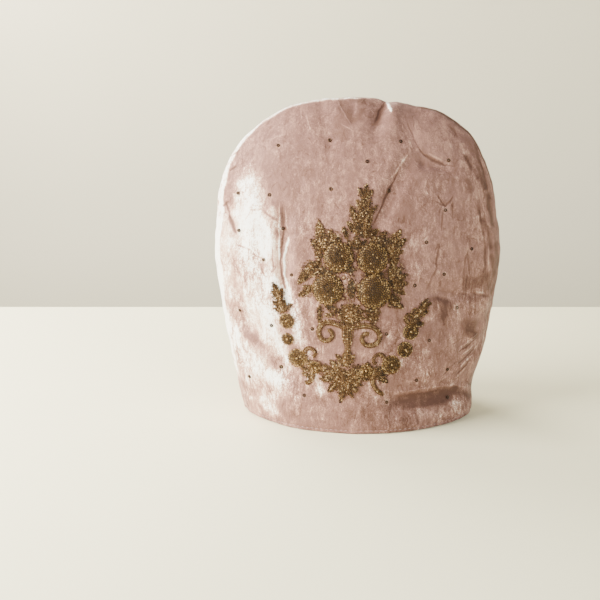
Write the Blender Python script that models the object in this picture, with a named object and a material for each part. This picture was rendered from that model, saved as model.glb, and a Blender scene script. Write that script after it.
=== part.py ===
"""Padded velvet tea cosy: a front and a back panel, joined by one arched seam and open at the hem.

Metres, +Z up. The cosy stands on its hem. The origin is on the table under the middle of the
hem, the front panel faces -Y, and the seam lies in the plane Y = 0.
"""

from typing import NamedTuple

import bmesh
import bpy
import numpy as np
from mathutils import Vector

# The seam's arch, seen from the front
HEIGHT = 0.338
HALF_WIDTH = 0.1526
WIDEST_HEIGHT = 0.180
HEM_HALF_WIDTH = 0.1221
FLANK_POWER = 1.3
CROWN_POWER_UP = 2.8
CROWN_POWER_OUT = 2.5

# Fullness from front to back
HALF_DEPTH = 0.097
DEPTH_POWER = 0.588
LEFT_HEM_ROUNDNESS = 1.66
RIGHT_HEM_ROUNDNESS = 2.00
BODY_ROUNDNESS = 1.75
BODY_BEGINS = 0.120

# Velvet, wadding and backing, sewn together
WALL = 0.0045
CROWN_WALL = 0.0070
SEAM_GAP = 0.0003

# The wadding stops short of the seam, so a soft valley runs beside it
VALLEY_OFFSET = 0.013
VALLEY_HALF_WIDTH = 0.007
VALLEY_DEPTH = 0.0018
SEAM_FADE = 0.012

# Mesh of the two surfaces of the cloth
CENTRE_HEIGHT = 0.130
CENTRE_SPREAD = (0.150, 0.100, 0.180)
OUTER_CUTS = 32
INNER_CUTS = 20
BELOW_HEM = 0.040
HALVINGS = 40
STEEPEST = 0.4

VELVET_COLOUR = (0.60, 0.40, 0.36, 1.0)
VELVET_ROUGHNESS = 0.65

FRONT, BACK, BOTH = -1, 1, 0


class Fold(NamedTuple):
    """A soft ridge, or a trough where its height is negative, along a line.

    A fold on one panel dies away at the seam; a fold on both runs across it.
    """

    side: int
    x_start: float
    z_start: float
    x_end: float
    z_end: float
    half_width: float
    height: float


FOLDS = (
    # The shoulders are drawn in a little, and the right flank is pushed out
    Fold(BOTH, -0.155, 0.210, -0.105, 0.320, 0.0240, -0.0024),
    Fold(BOTH, 0.152, 0.225, 0.136, 0.275, 0.0180, -0.0030),
    Fold(BOTH, 0.153, 0.155, 0.136, 0.070, 0.0240, 0.0030),
    # The hem runs more sharply into its left corner and stands out at its right one
    Fold(FRONT, -0.060, -0.020, -0.060, 0.020, 0.0260, 0.0034),
    Fold(FRONT, 0.110, -0.010, 0.114, 0.014, 0.0180, 0.0026),
    Fold(BOTH, 0.126, -0.010, 0.126, 0.004, 0.0120, 0.0034),
    # Two upright ridges left of the middle, with a trough between them
    Fold(FRONT, -0.088, 0.225, -0.085, 0.140, 0.0080, 0.0022),
    Fold(FRONT, -0.076, 0.225, -0.076, 0.140, 0.0080, -0.0036),
    Fold(FRONT, -0.064, 0.215, -0.066, 0.150, 0.0080, 0.0016),
    # A long slanting crease from the crown towards the middle
    Fold(FRONT, 0.050, 0.278, 0.018, 0.215, 0.0085, -0.0032),
    Fold(FRONT, 0.036, 0.278, 0.006, 0.225, 0.0085, 0.0012),
    # The crown sits lower to the right of the middle, where it is eased into the seam
    Fold(BOTH, 0.036, 0.342, 0.060, 0.336, 0.0140, -0.0030),
    Fold(BOTH, 0.031, 0.342, 0.030, 0.334, 0.0060, -0.0012),
    Fold(FRONT, 0.024, 0.336, 0.016, 0.306, 0.0085, -0.0038),
    Fold(FRONT, 0.036, 0.334, 0.036, 0.312, 0.0085, 0.0024),
    Fold(FRONT, -0.038, 0.334, -0.030, 0.304, 0.0090, -0.0020),
    # A bent crease on the right shoulder
    Fold(FRONT, 0.053, 0.307, 0.068, 0.2775, 0.0090, -0.0020),
    Fold(FRONT, 0.068, 0.2775, 0.092, 0.267, 0.0090, -0.0026),
    # Where the body sinks towards the hem, low on the right
    Fold(FRONT, 0.044, 0.036, 0.112, 0.042, 0.0150, -0.0046),
    Fold(FRONT, 0.036, 0.008, 0.106, 0.010, 0.0120, 0.0016),
    # Level crease on the right flank
    Fold(FRONT, 0.080, 0.146, 0.138, 0.136, 0.0100, -0.0026),
    # Slanting ripples low on the right flank
    Fold(FRONT, 0.138, 0.108, 0.112, 0.086, 0.0080, -0.0020),
    Fold(FRONT, 0.132, 0.086, 0.100, 0.060, 0.0080, -0.0022),
    # Broad sweep low on the left, and a short crease above it
    Fold(FRONT, -0.140, 0.160, -0.118, 0.108, 0.0130, -0.0030),
    Fold(FRONT, -0.118, 0.108, -0.074, 0.060, 0.0130, -0.0034),
    Fold(FRONT, -0.139, 0.226, -0.126, 0.196, 0.0090, -0.0024),
    # The plain back has fewer, longer folds
    Fold(BACK, 0.052, 0.300, 0.070, 0.180, 0.0120, -0.0028),
    Fold(BACK, -0.020, 0.334, -0.028, 0.290, 0.0100, -0.0028),
    Fold(BACK, -0.060, 0.230, -0.048, 0.110, 0.0130, -0.0030),
    Fold(BACK, -0.112, 0.150, -0.070, 0.070, 0.0130, -0.0032),
    Fold(BACK, 0.044, 0.052, 0.108, 0.066, 0.0120, -0.0034),
    Fold(BACK, 0.110, 0.200, 0.134, 0.140, 0.0110, -0.0024),
)


def crown_height(inset):
    """The height of the crown, where the seam's turned edges make the wall thicker."""
    return HEIGHT - inset * CROWN_WALL / WALL


def half_width(z, inset):
    """Half-widths of the arch at the heights z, drawn in all round by inset."""
    drop = (1.0 - z / WIDEST_HEIGHT).clip(0.0)
    flank = HALF_WIDTH - (HALF_WIDTH - HEM_HALF_WIDTH) * drop**FLANK_POWER
    rise = (z - WIDEST_HEIGHT) / (crown_height(inset) - WIDEST_HEIGHT)
    crown = (1.0 - rise.clip(0.0, 1.0) ** CROWN_POWER_UP) ** (1 / CROWN_POWER_OUT)
    return (flank - inset) * crown


def half_depth(z, inset):
    """How far the panels stand from the seam's plane in the middle, drawn in by inset."""
    share = (z / crown_height(inset)).clip(0.0, 1.0)
    return (HALF_DEPTH - inset) * (1.0 - share**2) ** DEPTH_POWER


def inside(points, inset):
    """Which of the points lie inside the cosy's smooth form, drawn in by inset."""
    x, y, z = points.T
    rise = (z / BODY_BEGINS).clip(0.0, 1.0)
    at_hem = np.where(x < 0.0, LEFT_HEM_ROUNDNESS, RIGHT_HEM_ROUNDNESS)
    power = at_hem + (BODY_ROUNDNESS - at_hem) * rise
    across = np.abs(x) / half_width(z, inset).clip(1e-9)
    deep = np.abs(y) / half_depth(z, inset).clip(1e-9)
    between = (z > -BELOW_HEM - inset) & (z < crown_height(inset))
    return (across**power + deep**power < 1.0) & between


def on_surface(directions, inset):
    """Where the rays from the form's centre leave it."""
    centre = np.array((0.0, 0.0, CENTRE_HEIGHT))
    near = np.zeros((len(directions), 1))
    far = np.ones((len(directions), 1))
    for _ in range(HALVINGS):
        middle = (near + far) / 2
        kept = inside(centre + middle * directions, inset)[:, None]
        near, far = np.where(kept, middle, near), np.where(kept, far, middle)
    return centre + near * directions


def beside(fold, point):
    """The distance from the point to the fold's line, both seen from the front."""
    start = Vector((fold.x_start, fold.z_start))
    line = Vector((fold.x_end, fold.z_end)) - start
    away = Vector((point.x, point.z)) - start
    share = min(max(away.dot(line) / line.length_squared, 0.0), 1.0)
    return (away - share * line).length


def bump(distance, half_width):
    """A smooth rise to 1 at no distance, almost gone at two half-widths."""
    return float(np.exp(-((distance / half_width) ** 2)))


def share_of(fold, point):
    """How much of the fold reaches the point: none on the other panel, all of it on its own."""
    if fold.side == BOTH:
        return 1.0
    share = min(max(fold.side * point.y / SEAM_FADE, 0.0), 1.0)
    return share * share * (3.0 - 2.0 * share)


def relief(point, valley_depth):
    """How far the cloth stands out of the smooth form at a point: negative in a trough."""
    height = -valley_depth * bump(abs(point.y) - VALLEY_OFFSET, VALLEY_HALF_WIDTH)
    for fold in FOLDS:
        height += fold.height * share_of(fold, point) * bump(beside(fold, point), fold.half_width)
    return height


def closed_form(name, cuts, inset, valley_depth):
    """One closed surface of the whole cosy with its folds: a cube swelled to the form."""
    form = bmesh.new()
    bmesh.ops.create_cube(form, size=1.0)
    bmesh.ops.subdivide_edges(form, edges=form.edges, cuts=cuts - 1, use_grid_fill=True)
    spread = Vector(CENTRE_SPREAD)
    directions = np.array([vert.co.normalized() * spread for vert in form.verts])
    directions /= np.linalg.norm(directions, axis=1, keepdims=True)
    for vert, place in zip(form.verts, on_surface(directions, inset)):
        vert.co = place
    form.normal_update()
    rays = [Vector(direction) for direction in directions]
    slopes = [max(vert.normal.dot(ray), STEEPEST) for vert, ray in zip(form.verts, rays)]
    for vert, ray, slope in zip(form.verts, rays, slopes):
        vert.co += ray * relief(vert.co, valley_depth) / slope
    mesh = bpy.data.meshes.new(name)
    form.to_mesh(mesh)
    form.free()
    mesh.shade_smooth()
    return mesh


def velvet():
    """The plain finish of both panels."""
    material = bpy.data.materials.new("blush_velvet")
    material.use_nodes = True
    shader = material.node_tree.nodes["Principled BSDF"]
    shader.inputs["Base Color"].default_value = VELVET_COLOUR
    shader.inputs["Roughness"].default_value = VELVET_ROUGHNESS
    shader.inputs["Metallic"].default_value = 0.0
    return material


def half_space_mesh(name, side):
    """The box above the table on one side of the seam, which trims a panel to its half."""
    size = Vector((4 * HALF_WIDTH, 2 * HALF_DEPTH, 2 * HEIGHT))
    centre = Vector((0.0, side * (size.y + SEAM_GAP) / 2, size.z / 2))
    form = bmesh.new()
    bmesh.ops.create_cube(form, size=1.0)
    bmesh.ops.scale(form, vec=size, verts=form.verts)
    bmesh.ops.translate(form, vec=centre, verts=form.verts)
    mesh = bpy.data.meshes.new(name)
    form.to_mesh(mesh)
    form.free()
    return mesh


def cutter(mesh, collection):
    """An object that only shapes others."""
    made = bpy.data.objects.new(mesh.name, mesh)
    made.hide_render = True
    made.display_type = "WIRE"
    collection.objects.link(made)
    return made


def panel(name, outer, hollow, half, finish, collection):
    """One panel: the outer form, hollowed by the inner one and trimmed to its half."""
    made = bpy.data.objects.new(name, outer.copy())
    made.data.materials.append(finish)
    collection.objects.link(made)
    for label, operation, tool in (("hollow", "DIFFERENCE", hollow), ("trim", "INTERSECT", half)):
        step = made.modifiers.new(label, "BOOLEAN")
        step.operation = operation
        step.object = tool


def main():
    for old in list(bpy.data.objects):
        bpy.data.objects.remove(old)
    parts = bpy.data.collections.new("tea_cosy")
    cutters = bpy.data.collections.new("cutters")
    bpy.context.scene.collection.children.link(parts)
    bpy.context.scene.collection.children.link(cutters)
    outer = closed_form("outer_form", OUTER_CUTS, 0.0, VALLEY_DEPTH)
    hollow = cutter(closed_form("hollow", INNER_CUTS, WALL, 0.0), cutters)
    finish = velvet()
    for name, side in (("front_panel", FRONT), ("back_panel", BACK)):
        half = cutter(half_space_mesh(f"{name}_half", side), cutters)
        panel(name, outer, hollow, half, finish, parts)


main()
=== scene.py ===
"""Finishes the padded tea cosy: crushed velvet, a beaded bouquet and garland, and its stage.

Metres, +Z up. The cosy stands on its hem, and its front panel faces -Y. Charts and tables on a
panel are in millimetres across and up, seen from the front.
"""

import math
from typing import NamedTuple

import bmesh
import bpy
import numpy as np
from bpy.props import FloatProperty, FloatVectorProperty, IntVectorProperty, PointerProperty
from mathutils import Matrix, Vector, noise
from mathutils.bvhtree import BVHTree


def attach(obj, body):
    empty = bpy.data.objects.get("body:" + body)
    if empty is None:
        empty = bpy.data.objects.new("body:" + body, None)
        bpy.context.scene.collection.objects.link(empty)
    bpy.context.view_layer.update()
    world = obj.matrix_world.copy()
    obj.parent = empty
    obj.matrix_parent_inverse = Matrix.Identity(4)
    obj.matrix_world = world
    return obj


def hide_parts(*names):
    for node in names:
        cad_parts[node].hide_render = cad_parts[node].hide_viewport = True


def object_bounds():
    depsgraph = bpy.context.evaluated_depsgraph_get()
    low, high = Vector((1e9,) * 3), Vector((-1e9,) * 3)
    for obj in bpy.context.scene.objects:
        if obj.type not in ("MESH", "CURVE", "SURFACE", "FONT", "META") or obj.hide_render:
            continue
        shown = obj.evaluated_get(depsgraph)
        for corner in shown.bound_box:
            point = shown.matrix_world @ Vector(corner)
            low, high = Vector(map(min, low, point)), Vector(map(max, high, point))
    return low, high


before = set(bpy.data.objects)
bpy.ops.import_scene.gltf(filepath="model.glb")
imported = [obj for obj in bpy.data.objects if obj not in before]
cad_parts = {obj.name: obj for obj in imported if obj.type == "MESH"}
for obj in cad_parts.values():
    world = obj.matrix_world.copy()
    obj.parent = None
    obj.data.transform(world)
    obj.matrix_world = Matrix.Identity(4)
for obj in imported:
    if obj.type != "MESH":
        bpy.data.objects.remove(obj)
CAD_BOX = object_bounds()

bl_info = {
    "name": "Beaded Velvet Tea Cosy",
    "version": (1, 0, 0),
    "blender": (4, 5, 0),
    "location": "3D View > Sidebar > Tea Cosy",
    "description": "Makes a padded velvet tea cosy with a beaded bouquet and garland",
    "category": "Add Mesh",
}

MM = 0.001
FRONT, BACK, BOTH = -1, 1, 0
FRONT_PIECE, BACK_PIECE = "front_velvet", "back_velvet"

# The smooth form of the cosy, without its folds
WIDEST_HEIGHT = 0.180
FLANK_POWER = 1.3
CROWN_POWER_UP = 2.8
CROWN_POWER_OUT = 2.5
DEPTH_POWER = 0.588
LEFT_HEM_ROUNDNESS = 1.66
RIGHT_HEM_ROUNDNESS = 2.00
BODY_ROUNDNESS = 1.75
BODY_BEGINS = 0.120
SEAM_GAP = 0.00002
VALLEY_OFFSET = 0.013
VALLEY_HALF_WIDTH = 0.007
VALLEY_DEPTH = 0.0008
# Marks on one panel die away this far from the seam
SEAM_FADE = 0.012
# Gathers beside the seam reach this far in
PUCKER_REACH = 0.022
# Waves to the metre of the ripples, the finer ripples and the gathers
RIPPLE_SCALE, FINE_RIPPLE_SCALE, PUCKER_SCALE = 48.0, 120.0, 105.0
STEEPEST = 0.4
HALVINGS = 36
CROWN = CAD_BOX[1].z

# Lines of the mesh that follow the seam and the hem, and the groove of the hem's stitches
SEAM_LOOPS = (0.0004, 0.0012, 0.0024, 0.0036, 0.0048)
HEM_LOOPS = (0.0003, 0.0009, 0.0017, 0.0026, 0.0035, 0.0044, 0.0055)
SNAP = 0.00015
STITCH_HEIGHT = 0.0035
GROOVE_HALF_WIDTH = 0.0011
GROOVE_DEPTH = 0.0007

SEED = 7


class Mark(NamedTuple):
    """A fold, a crease, a patch of turned pile, or painted light and shade, along a line on a panel, in
    millimetres.

    A mark on one panel dies away at the seam; a mark on both runs across it. Its height is
    negative in a trough, and its nap is above 0 where the pile is paler, for crushed pile and painted
    highlight alike.
    """

    side: int
    places: tuple
    half_width: float
    height: float = 0.0
    nap: float = 0.0


class Line(NamedTuple):
    """A sharp crease between two places on a panel, finer than the mesh: its height bumps the cloth, and its
    nap paints shade in a trough and a highlight on a lip.
    """

    start: tuple
    end: tuple
    half_width: float
    height: float
    nap: float


def folds(side, *rows):
    """Marks that stand out or sink in: each row holds its places, half width and height."""
    return tuple(Mark(side, places, half_width, height=height) for *places, half_width, height in rows)


def turned_pile(side, *rows):
    """Marks that make the pile paler or duller, for crushed pile and for painted light and shade: each row
    holds its places, half width and nap.
    """
    return tuple(Mark(side, places, half_width, nap=nap) for *places, half_width, nap in rows)


def rows_of(kind, *rows):
    """The rows of a chart, each made one of its kind."""
    return tuple(kind(*row) for row in rows)


FOLDS = folds(
    BOTH,
    # The shoulders are drawn in a little, and the right flank is pushed out
    ((-155, 210), (-105, 320), 24, -2.4), ((152, 225), (136, 275), 18, -3.0),
    ((153, 155), (136, 70), 24, 3.0),
    # The hem stands out at its right corner
    ((126, -10), (126, 4), 12, 3.4),
    # The crown sits lower to the right of the middle, where it is eased into the seam
    ((36, 342), (60, 336), 14, -3.0), ((31, 342), (30, 334), 6, -1.2),
) + folds(
    FRONT,
    # The hem runs more sharply into its left corner and stands out at its right one
    ((-60, -20), (-60, 20), 26, 3.4), ((110, -10), (114, 14), 18, 2.6),
    # Two upright ridges left of the middle, with a trough between them
    ((-88, 225), (-85, 140), 8, 2.2), ((-76, 225), (-76, 140), 8, -3.6), ((-64, 215), (-66, 150), 8, 1.6),
    # A long slanting crease from the crown towards the middle
    ((50, 278), (18, 215), 8.5, -3.2), ((36, 278), (6, 225), 8.5, 1.2),
    # Easing under the crown
    ((24, 336), (16, 306), 8.5, -2.6), ((36, 334), (36, 312), 8.5, 2.4), ((-38, 334), (-30, 304), 9, -2.0),
    # A bent crease on the right shoulder
    ((53, 307), (68, 277.5), 9, -2.0), ((68, 279), (92, 271), 8, -2.2),
    # Where the body sinks towards the hem, low on the right
    ((44, 36), (112, 38), 15, -4.6), ((36, 8), (106, 10), 12, 1.6),
    # Level crease on the right flank
    ((80, 146), (138, 136), 10, -2.6),
    # Slanting ripples low on the right flank
    ((138, 108), (112, 86), 8, -2.0), ((132, 86), (100, 60), 8, -2.2),
    # Broad sweep low on the left, and a short crease above it
    ((-140, 160), (-118, 108), 13, -3.0), ((-118, 108), (-74, 60), 13, -3.4),
    ((-139, 226), (-126, 196), 9, -2.4),
) + folds(
    BACK,
    # The plain back has fewer, longer folds
    ((52, 300), (70, 180), 12, -2.8), ((-20, 334), (-28, 290), 10, -2.8), ((-60, 230), (-48, 110), 13, -3.0),
    ((-112, 150), (-70, 70), 13, -3.2), ((44, 52), (108, 66), 12, -3.4), ((110, 200), (134, 140), 11, -2.4),
)

CREASES = folds(
    FRONT,
    # Beside the seam on the left, with three small kinks
    ((-133, 264), (-126, 268), 2.4, -0.9), ((-130, 279), (-123, 283), 2.2, -0.7),
    ((-142, 225), (-136, 231), 2.4, -0.9),
    # The long slanting crease
    ((36, 262), (31, 249), (24, 235), (16, 220), 2.4, -0.8), ((22, 231), (25, 218), 2.6, 0.6),
    # The bent crease on the right shoulder
    ((66, 283), (78, 277), (90, 271), 2.8, -1.2),
    # Easing under the crown
    ((28, 333), (23, 326), (16, 316), 2.8, -1.1), ((31, 334), (34, 324), 2.6, 1.0),
    ((-5, 330), (-7, 316), 3.0, -0.6),
    # Slanting ripples low on the right flank
    ((130, 74), (111, 64), 2.4, -0.9), ((132, 68), (122, 58), 2.4, 0.7),
    # The ledge above the sunken band low on the right
    ((39, 43), (54, 44), (70, 44), (86, 44), (101, 43), (117, 34), 3.0, 1.2),
    ((40, 36), (62, 33), (84, 33), (100, 34), (115, 27), 8.0, -1.0),
    # The pinched fold at the left silhouette
    ((-124, 88), (-122, 52), (-119, 18), 2.6, -0.8), ((-131, 94), (-127, 49), (-118, 15), 2.6, 0.7),
)

NAP_AND_LIGHT_FRONT = turned_pile(
    FRONT,
    # Pale over the left third: mostly painted highlight where the light from the left falls, with pile
    # pressed pale
    ((-116, 243), (-112, 196), 19, 0.36), ((-104, 196), (-106, 104), 27, 0.38),
    ((-104, 104), (-94, 34), 22, 0.36),
    ((-138, 222), (-144, 180), (-142, 120), (-132, 80), (-124, 48), 13, 0.30),
    ((-118, 254), (-110, 262), 9, 0.22), ((-122, 268), (-104, 298), 12, 0.08),
    ((-96, 20), (-89, 14), 8, 0.34), ((-113, 24), (-108, 8), 9, 0.16),
    # Painted highlight where it shines most
    ((-116, 250), (-113, 236), (-107, 190), 9, 0.20), ((-101, 206), (-96, 190), 7, 0.20),
    ((-112, 130), (-98, 124), 8, 0.18), ((-91, 106), (-88, 84), 6, 0.20),
    ((-118, 66), (-100, 54), (-80, 48), 7, 0.20),
    # Paler cloth over the middle
    ((-58, 236), (-50, 190), 12, 0.03), ((62, 190), (66, 160), 10, 0.04),
    ((-74, 146), (-67, 132), (-64, 112), (-64, 96), 7, 0.34), ((-87, 226), (-84, 212), 4, 0.24),
    ((-112, 188), (-104, 180), 7, 0.16), ((-90, 152), (-80, 138), 9, 0.26),
    ((-57, 172), (-56, 162), 6, 0.12), ((-78, 88), (-75, 68), 7, 0.24), ((-56, 92), (-53, 84), 5, 0.20),
    ((-46, 60), (-40, 44), 6, 0.30),
    # Pink patches within the pale third, and a tan sweep of painted shade along the broad fold low on the
    # left
    ((-134, 250), (-134, 230), 4, -0.14), ((-136, 222), (-132, 200), 4, -0.16),
    ((-133, 166), (-134, 146), 4, -0.14), ((-99, 176), (-97, 170), 4, -0.20),
    ((-86, 216), (-82, 198), 4, -0.10), ((-137, 124), (-127, 107), (-115, 93), 7, -0.27),
    ((-115, 93), (-102, 82), (-84, 68), 8, -0.32), ((-114, 112), (-98, 92), 15, -0.14),
    ((-118, 50), (-104, 22), 12, -0.08), ((-56, 124), (-54, 112), 5, -0.18),
    ((-66, 149), (-64, 144), 4, -0.20), ((-68, 232), (-67, 204), 6, -0.08),
    ((-110, 28), (-98, 24), 6, -0.14), ((-80, 24), (-68, 14), 6, -0.20), ((-98, 48), (-92, 36), 5, -0.10),
    ((-126, 198), (-124, 188), 4, -0.08), ((-84, 208), (-83, 203), 3, -0.12),
    # Duller pile about the bouquet and low in the middle
    ((-20, 318), (-18, 306), 8, -0.12), ((46, 236), (50, 214), 11, -0.07),
    ((-62, 290), (-58, 272), 12, -0.05), ((-52, 204), (-52, 186), 8, -0.05),
    ((-6, 26), (44, 14), 17, -0.14), ((72, 102), (84, 92), 12, -0.11),
    # Darker pile under the crown and down the right edge, much of it painted shade in the troughs of the
    # folds and beside the seam, with some paler pile
    ((4, 335), (0, 322), 4, -0.20), ((3, 334), (13, 333), 3, -0.14), ((25, 331), (20, 319), 5, -0.26),
    ((-16, 333), (-8, 318), 5.5, -0.22), ((115, 254), (117, 244), 2.8, -0.28),
    ((97, 297), (102, 283), 3, -0.10), ((98, 309), (109, 296), 3, -0.10),
    ((114, 294), (124, 281), 3.5, -0.16), ((114, 279), (125, 260), 3, -0.16),
    ((128, 270), (136, 250), 3, -0.30), ((140, 242), (145, 208), 3, -0.40),
    ((132, 215), (141, 182), 2.4, -0.26), ((140, 172), (142, 149), 2.4, -0.30),
    ((147, 184), (146, 147), (144, 132), 2.6, -0.28), ((92, 308), (112, 286), (126, 246), 9, 0.07),
    ((64, 304), (92, 292), 18, 0.06), ((118, 238), (126, 190), 10, 0.07), ((134, 236), (136, 214), 3, 0.09),
    ((96, 132), (104, 112), (98, 92), 7, 0.08), ((120, 122), (126, 112), 5, 0.08),
    ((126, 234), (127, 223), 2.4, -0.20), ((114, 154), (134, 149), 4, -0.27),
    ((115, 147), (139, 142), 3.6, -0.24), ((116, 133), (131, 130), 4, -0.20),
    ((79, 138), (90, 133), (98, 130), 5, -0.28), ((91, 127), (87, 114), 4.5, -0.30),
    ((112, 106), (122, 102), 6, -0.30), ((116, 97), (125, 90), 4, -0.28), ((39, 128), (38, 96), 2.5, -0.14),
    # The dark band low on the right, painted shade in the trough where the body sinks towards the hem, and
    # the paler cloth below it
    ((43, 37), (56, 39), (74, 39), (100, 39), (109, 37), 3.6, -0.26),
    ((43, 33), (60, 33), (84, 33), (106, 33), 3.8, -0.26),
    ((50, 28), (66, 27), (84, 27), (100, 27), 3.4, -0.28), ((106, 36), (114, 30), (121, 20), 2.6, -0.34),
    ((98, 24), (112, 18), 4, 0.12), ((105, 16), (110, 9), 5, 0.08), ((66, 18), (86, 14), 6, 0.08),
)
NAP_AND_LIGHT_BACK = turned_pile(
    BACK,
    # Paler and duller pile on the back; most duller marks follow the folds, as painted shade in their troughs
    ((120, 230), (112, 150), 14, 0.24), ((96, 120), (100, 60), 12, 0.22), ((132, 110), (116, 40), 8, 0.16),
    ((-70, 260), (-58, 200), 9, 0.14), ((20, 240), (12, 170), 8, 0.10),
    ((-120, 240), (-134, 180), 6, -0.22), ((-139, 170), (-140, 110), 5, -0.20),
    ((-100, 36), (-50, 30), 7, -0.24), ((-30, 300), (-24, 262), 6, -0.14), ((60, 296), (72, 190), 5, -0.16),
    ((-50, 220), (-44, 120), 5, -0.17), ((-104, 140), (-72, 78), 6, -0.17), ((40, 48), (104, 62), 6, -0.20),
    ((6, 110), (20, 60), 9, 0.12),
)

# On both panels, each line's nap paints shade where its crease sinks and a highlight where it stands up
LINES_FRONT = rows_of(
    Line,
    # The long slanting crease and its lips
    ((41, 268), (29, 245), 0.9, -0.8, -0.45), ((33, 255), (22, 231), 1.2, -1.0, -0.65),
    ((25, 237), (14, 214), 1.0, -0.8, -0.50), ((52, 285), (33, 260), 1.2, 0.5, 0.20),
    ((23, 233), (27, 210), 1.4, 0.3, 0.12), ((-26, 238), (-20, 230), 0.9, -0.3, -0.16),
    # The two upright folds left of the middle
    ((-78, 234), (-77, 198), 2.2, -0.5, -0.20), ((-77, 208), (-81, 172), 1.4, -0.6, -0.34),
    ((-81, 176), (-75, 144), 1.3, -0.5, -0.34), ((-81, 236), (-82, 202), 0.9, 0.3, 0.26),
    ((-82, 208), (-82, 174), 1.2, 0.4, 0.34), ((-75, 230), (-74, 208), 0.8, 0.3, 0.20),
    ((-72, 202), (-77, 178), 1.4, 0.5, 0.40), ((-77, 184), (-76, 160), 1.6, 0.5, 0.42),
    ((-77, 164), (-70, 140), 1.4, 0.4, 0.36), ((-89, 191), (-88, 163), 1.0, -0.3, -0.24),
    # A crease on the left shoulder, and the ragged upper edge of the painted highlight
    ((-139, 231), (-133, 214), 1.6, -0.6, -0.50), ((-135, 217), (-127, 198), 2.4, -0.6, -0.56),
    ((-117, 214), (-112, 225), 1.2, -0.3, -0.22), ((-113, 225), (-99, 227), 1.2, -0.3, -0.24),
    ((-100, 227), (-84, 217), 1.8, -0.3, -0.30), ((-127, 188), (-110, 184), 1.3, -0.3, -0.30),
    ((-113, 184), (-98, 176), 1.2, -0.3, -0.28), ((-104, 175), (-96, 157), 1.4, -0.3, -0.24),
    ((-122, 262), (-106, 280), 1.0, 0.4, 0.16),
    # Kinks beside the seam on the left
    ((-135, 262), (-127, 268), 1.2, -0.7, -0.40), ((-143, 224), (-135, 232), 1.2, -0.7, -0.40),
    ((-131, 278), (-124, 284), 1.1, -0.5, -0.30),
    # The easing under the crown
    ((-22, 336), (-8, 313), 0.9, 0.3, 0.20), ((-18, 314), (-4, 306), 0.9, 0.2, 0.14),
    ((-60, 326), (-58, 316), 1.0, 0.2, 0.12), ((-1, 330), (-7, 316), 1.0, 0.2, 0.10),
    ((30, 335), (34, 324), 1.9, 0.8, 0.75), ((28, 334), (17, 314), 1.7, -0.7, -0.36),
    ((-54, 322), (-49, 306), 1.0, 0.3, 0.14), ((-96, 296), (-74, 303), 0.9, 0.3, 0.12),
    # The bent crease on the right shoulder
    ((50, 316), (61, 290), 1.2, -0.4, -0.16), ((45, 314), (56, 288), 1.6, 0.3, 0.10),
    ((61, 290), (70, 280), 1.0, -0.5, -0.24), ((67, 283), (90, 270), 1.9, -0.8, -0.42),
    ((72, 284), (88, 275), 1.2, 0.5, 0.14), ((88, 271), (101, 270), 1.0, -0.3, -0.18),
    # Drawn threads round one bead
    ((80, 243), (90, 230), 1.2, -0.6, -0.36), ((98, 241), (88, 229), 1.2, -0.6, -0.36),
    ((79, 236), (90, 231), 1.0, -0.4, -0.26), ((91, 239), (88, 230), 2.6, -0.3, -0.20),
    ((97, 238), (97, 217), 1.1, -0.4, -0.28), ((87, 227), (85, 207), 1.1, -0.4, -0.28),
    ((84, 229), (82, 221), 1.0, -0.3, -0.20),
    # The right flank
    ((80, 147), (93, 142), 1.1, -0.3, -0.10), ((93, 145), (102, 139), 2.2, -0.4, -0.12),
    ((104, 140), (118, 136), 1.2, -0.4, -0.16), ((118, 139), (142, 128), 1.7, -0.5, -0.24),
    ((128, 138), (136, 133), 1.2, 0.4, 0.18), ((83, 192), (79, 176), 1.2, -0.4, -0.28),
    ((80, 180), (80, 166), 1.2, -0.4, -0.28), ((80, 169), (70, 148), 1.2, -0.4, -0.24),
    ((115, 186), (110, 168), 1.1, -0.4, -0.30), ((114, 182), (117, 158), 1.0, -0.3, -0.22),
    ((110, 169), (110, 140), 1.2, -0.4, -0.26), ((126, 226), (133, 192), 1.4, -0.5, -0.34),
    ((133, 194), (135, 150), 1.3, -0.5, -0.34), ((137, 196), (139, 148), 1.2, 0.4, 0.16),
    ((96, 309), (104, 298), 1.8, -0.4, -0.24), ((110, 281), (119, 264), 2.4, -0.5, -0.34),
    ((122, 292), (131, 262), 1.8, -0.4, -0.28), ((129, 272), (137, 240), 2.0, -0.5, -0.30),
    ((129, 92), (108, 81), 1.2, 0.8, 0.26), ((128, 87), (106, 76), 1.2, -0.9, -0.40),
    ((127, 81), (110, 72), 1.1, 0.8, 0.24), ((125, 76), (106, 63), 1.3, -0.9, -0.42),
    ((124, 70), (108, 59), 1.2, 0.8, 0.26), ((121, 65), (103, 50), 1.2, -0.9, -0.38),
    ((116, 58), (104, 47), 1.0, 0.6, 0.20), ((104, 66), (88, 54), 1.2, -0.5, -0.24),
    ((78, 139), (95, 131), 3.0, -0.2, -0.26), ((83, 134), (89, 113), 2.4, -0.2, -0.24),
    ((90, 130), (94, 116), 1.6, -0.2, -0.20), ((112, 102), (128, 92), 1.8, -0.4, -0.26),
    ((113, 166), (113, 134), 0.9, -0.4, -0.24), ((96, 54), (82, 48), 1.1, 0.4, 0.12),
    ((112, 92), (98, 86), 1.0, -0.3, -0.16),
    # The ledge over the dark band: painted highlight on the ledge, and painted shade in the band below it
    ((39, 42), (66, 44), 1.2, 0.4, 0.12), ((62, 44), (88, 43), 1.0, 0.4, 0.14),
    ((84, 43), (104, 41), 1.4, 0.4, 0.08), ((101, 42), (118, 31), 1.0, 0.4, 0.12),
    ((38, 37), (84, 38), 3.0, -0.3, -0.22), ((70, 37), (113, 34), 4.2, -0.3, -0.22),
    ((42, 32), (108, 30), 3.2, -0.2, -0.24), ((50, 26), (96, 26), 2.4, -0.2, -0.22),
    ((58, 30), (80, 33), 1.6, 0.3, 0.12), ((58, 24), (64, 6), 1.8, -0.4, -0.22),
    ((117, 39), (127, 27), 1.4, -0.5, -0.30),
)
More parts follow.
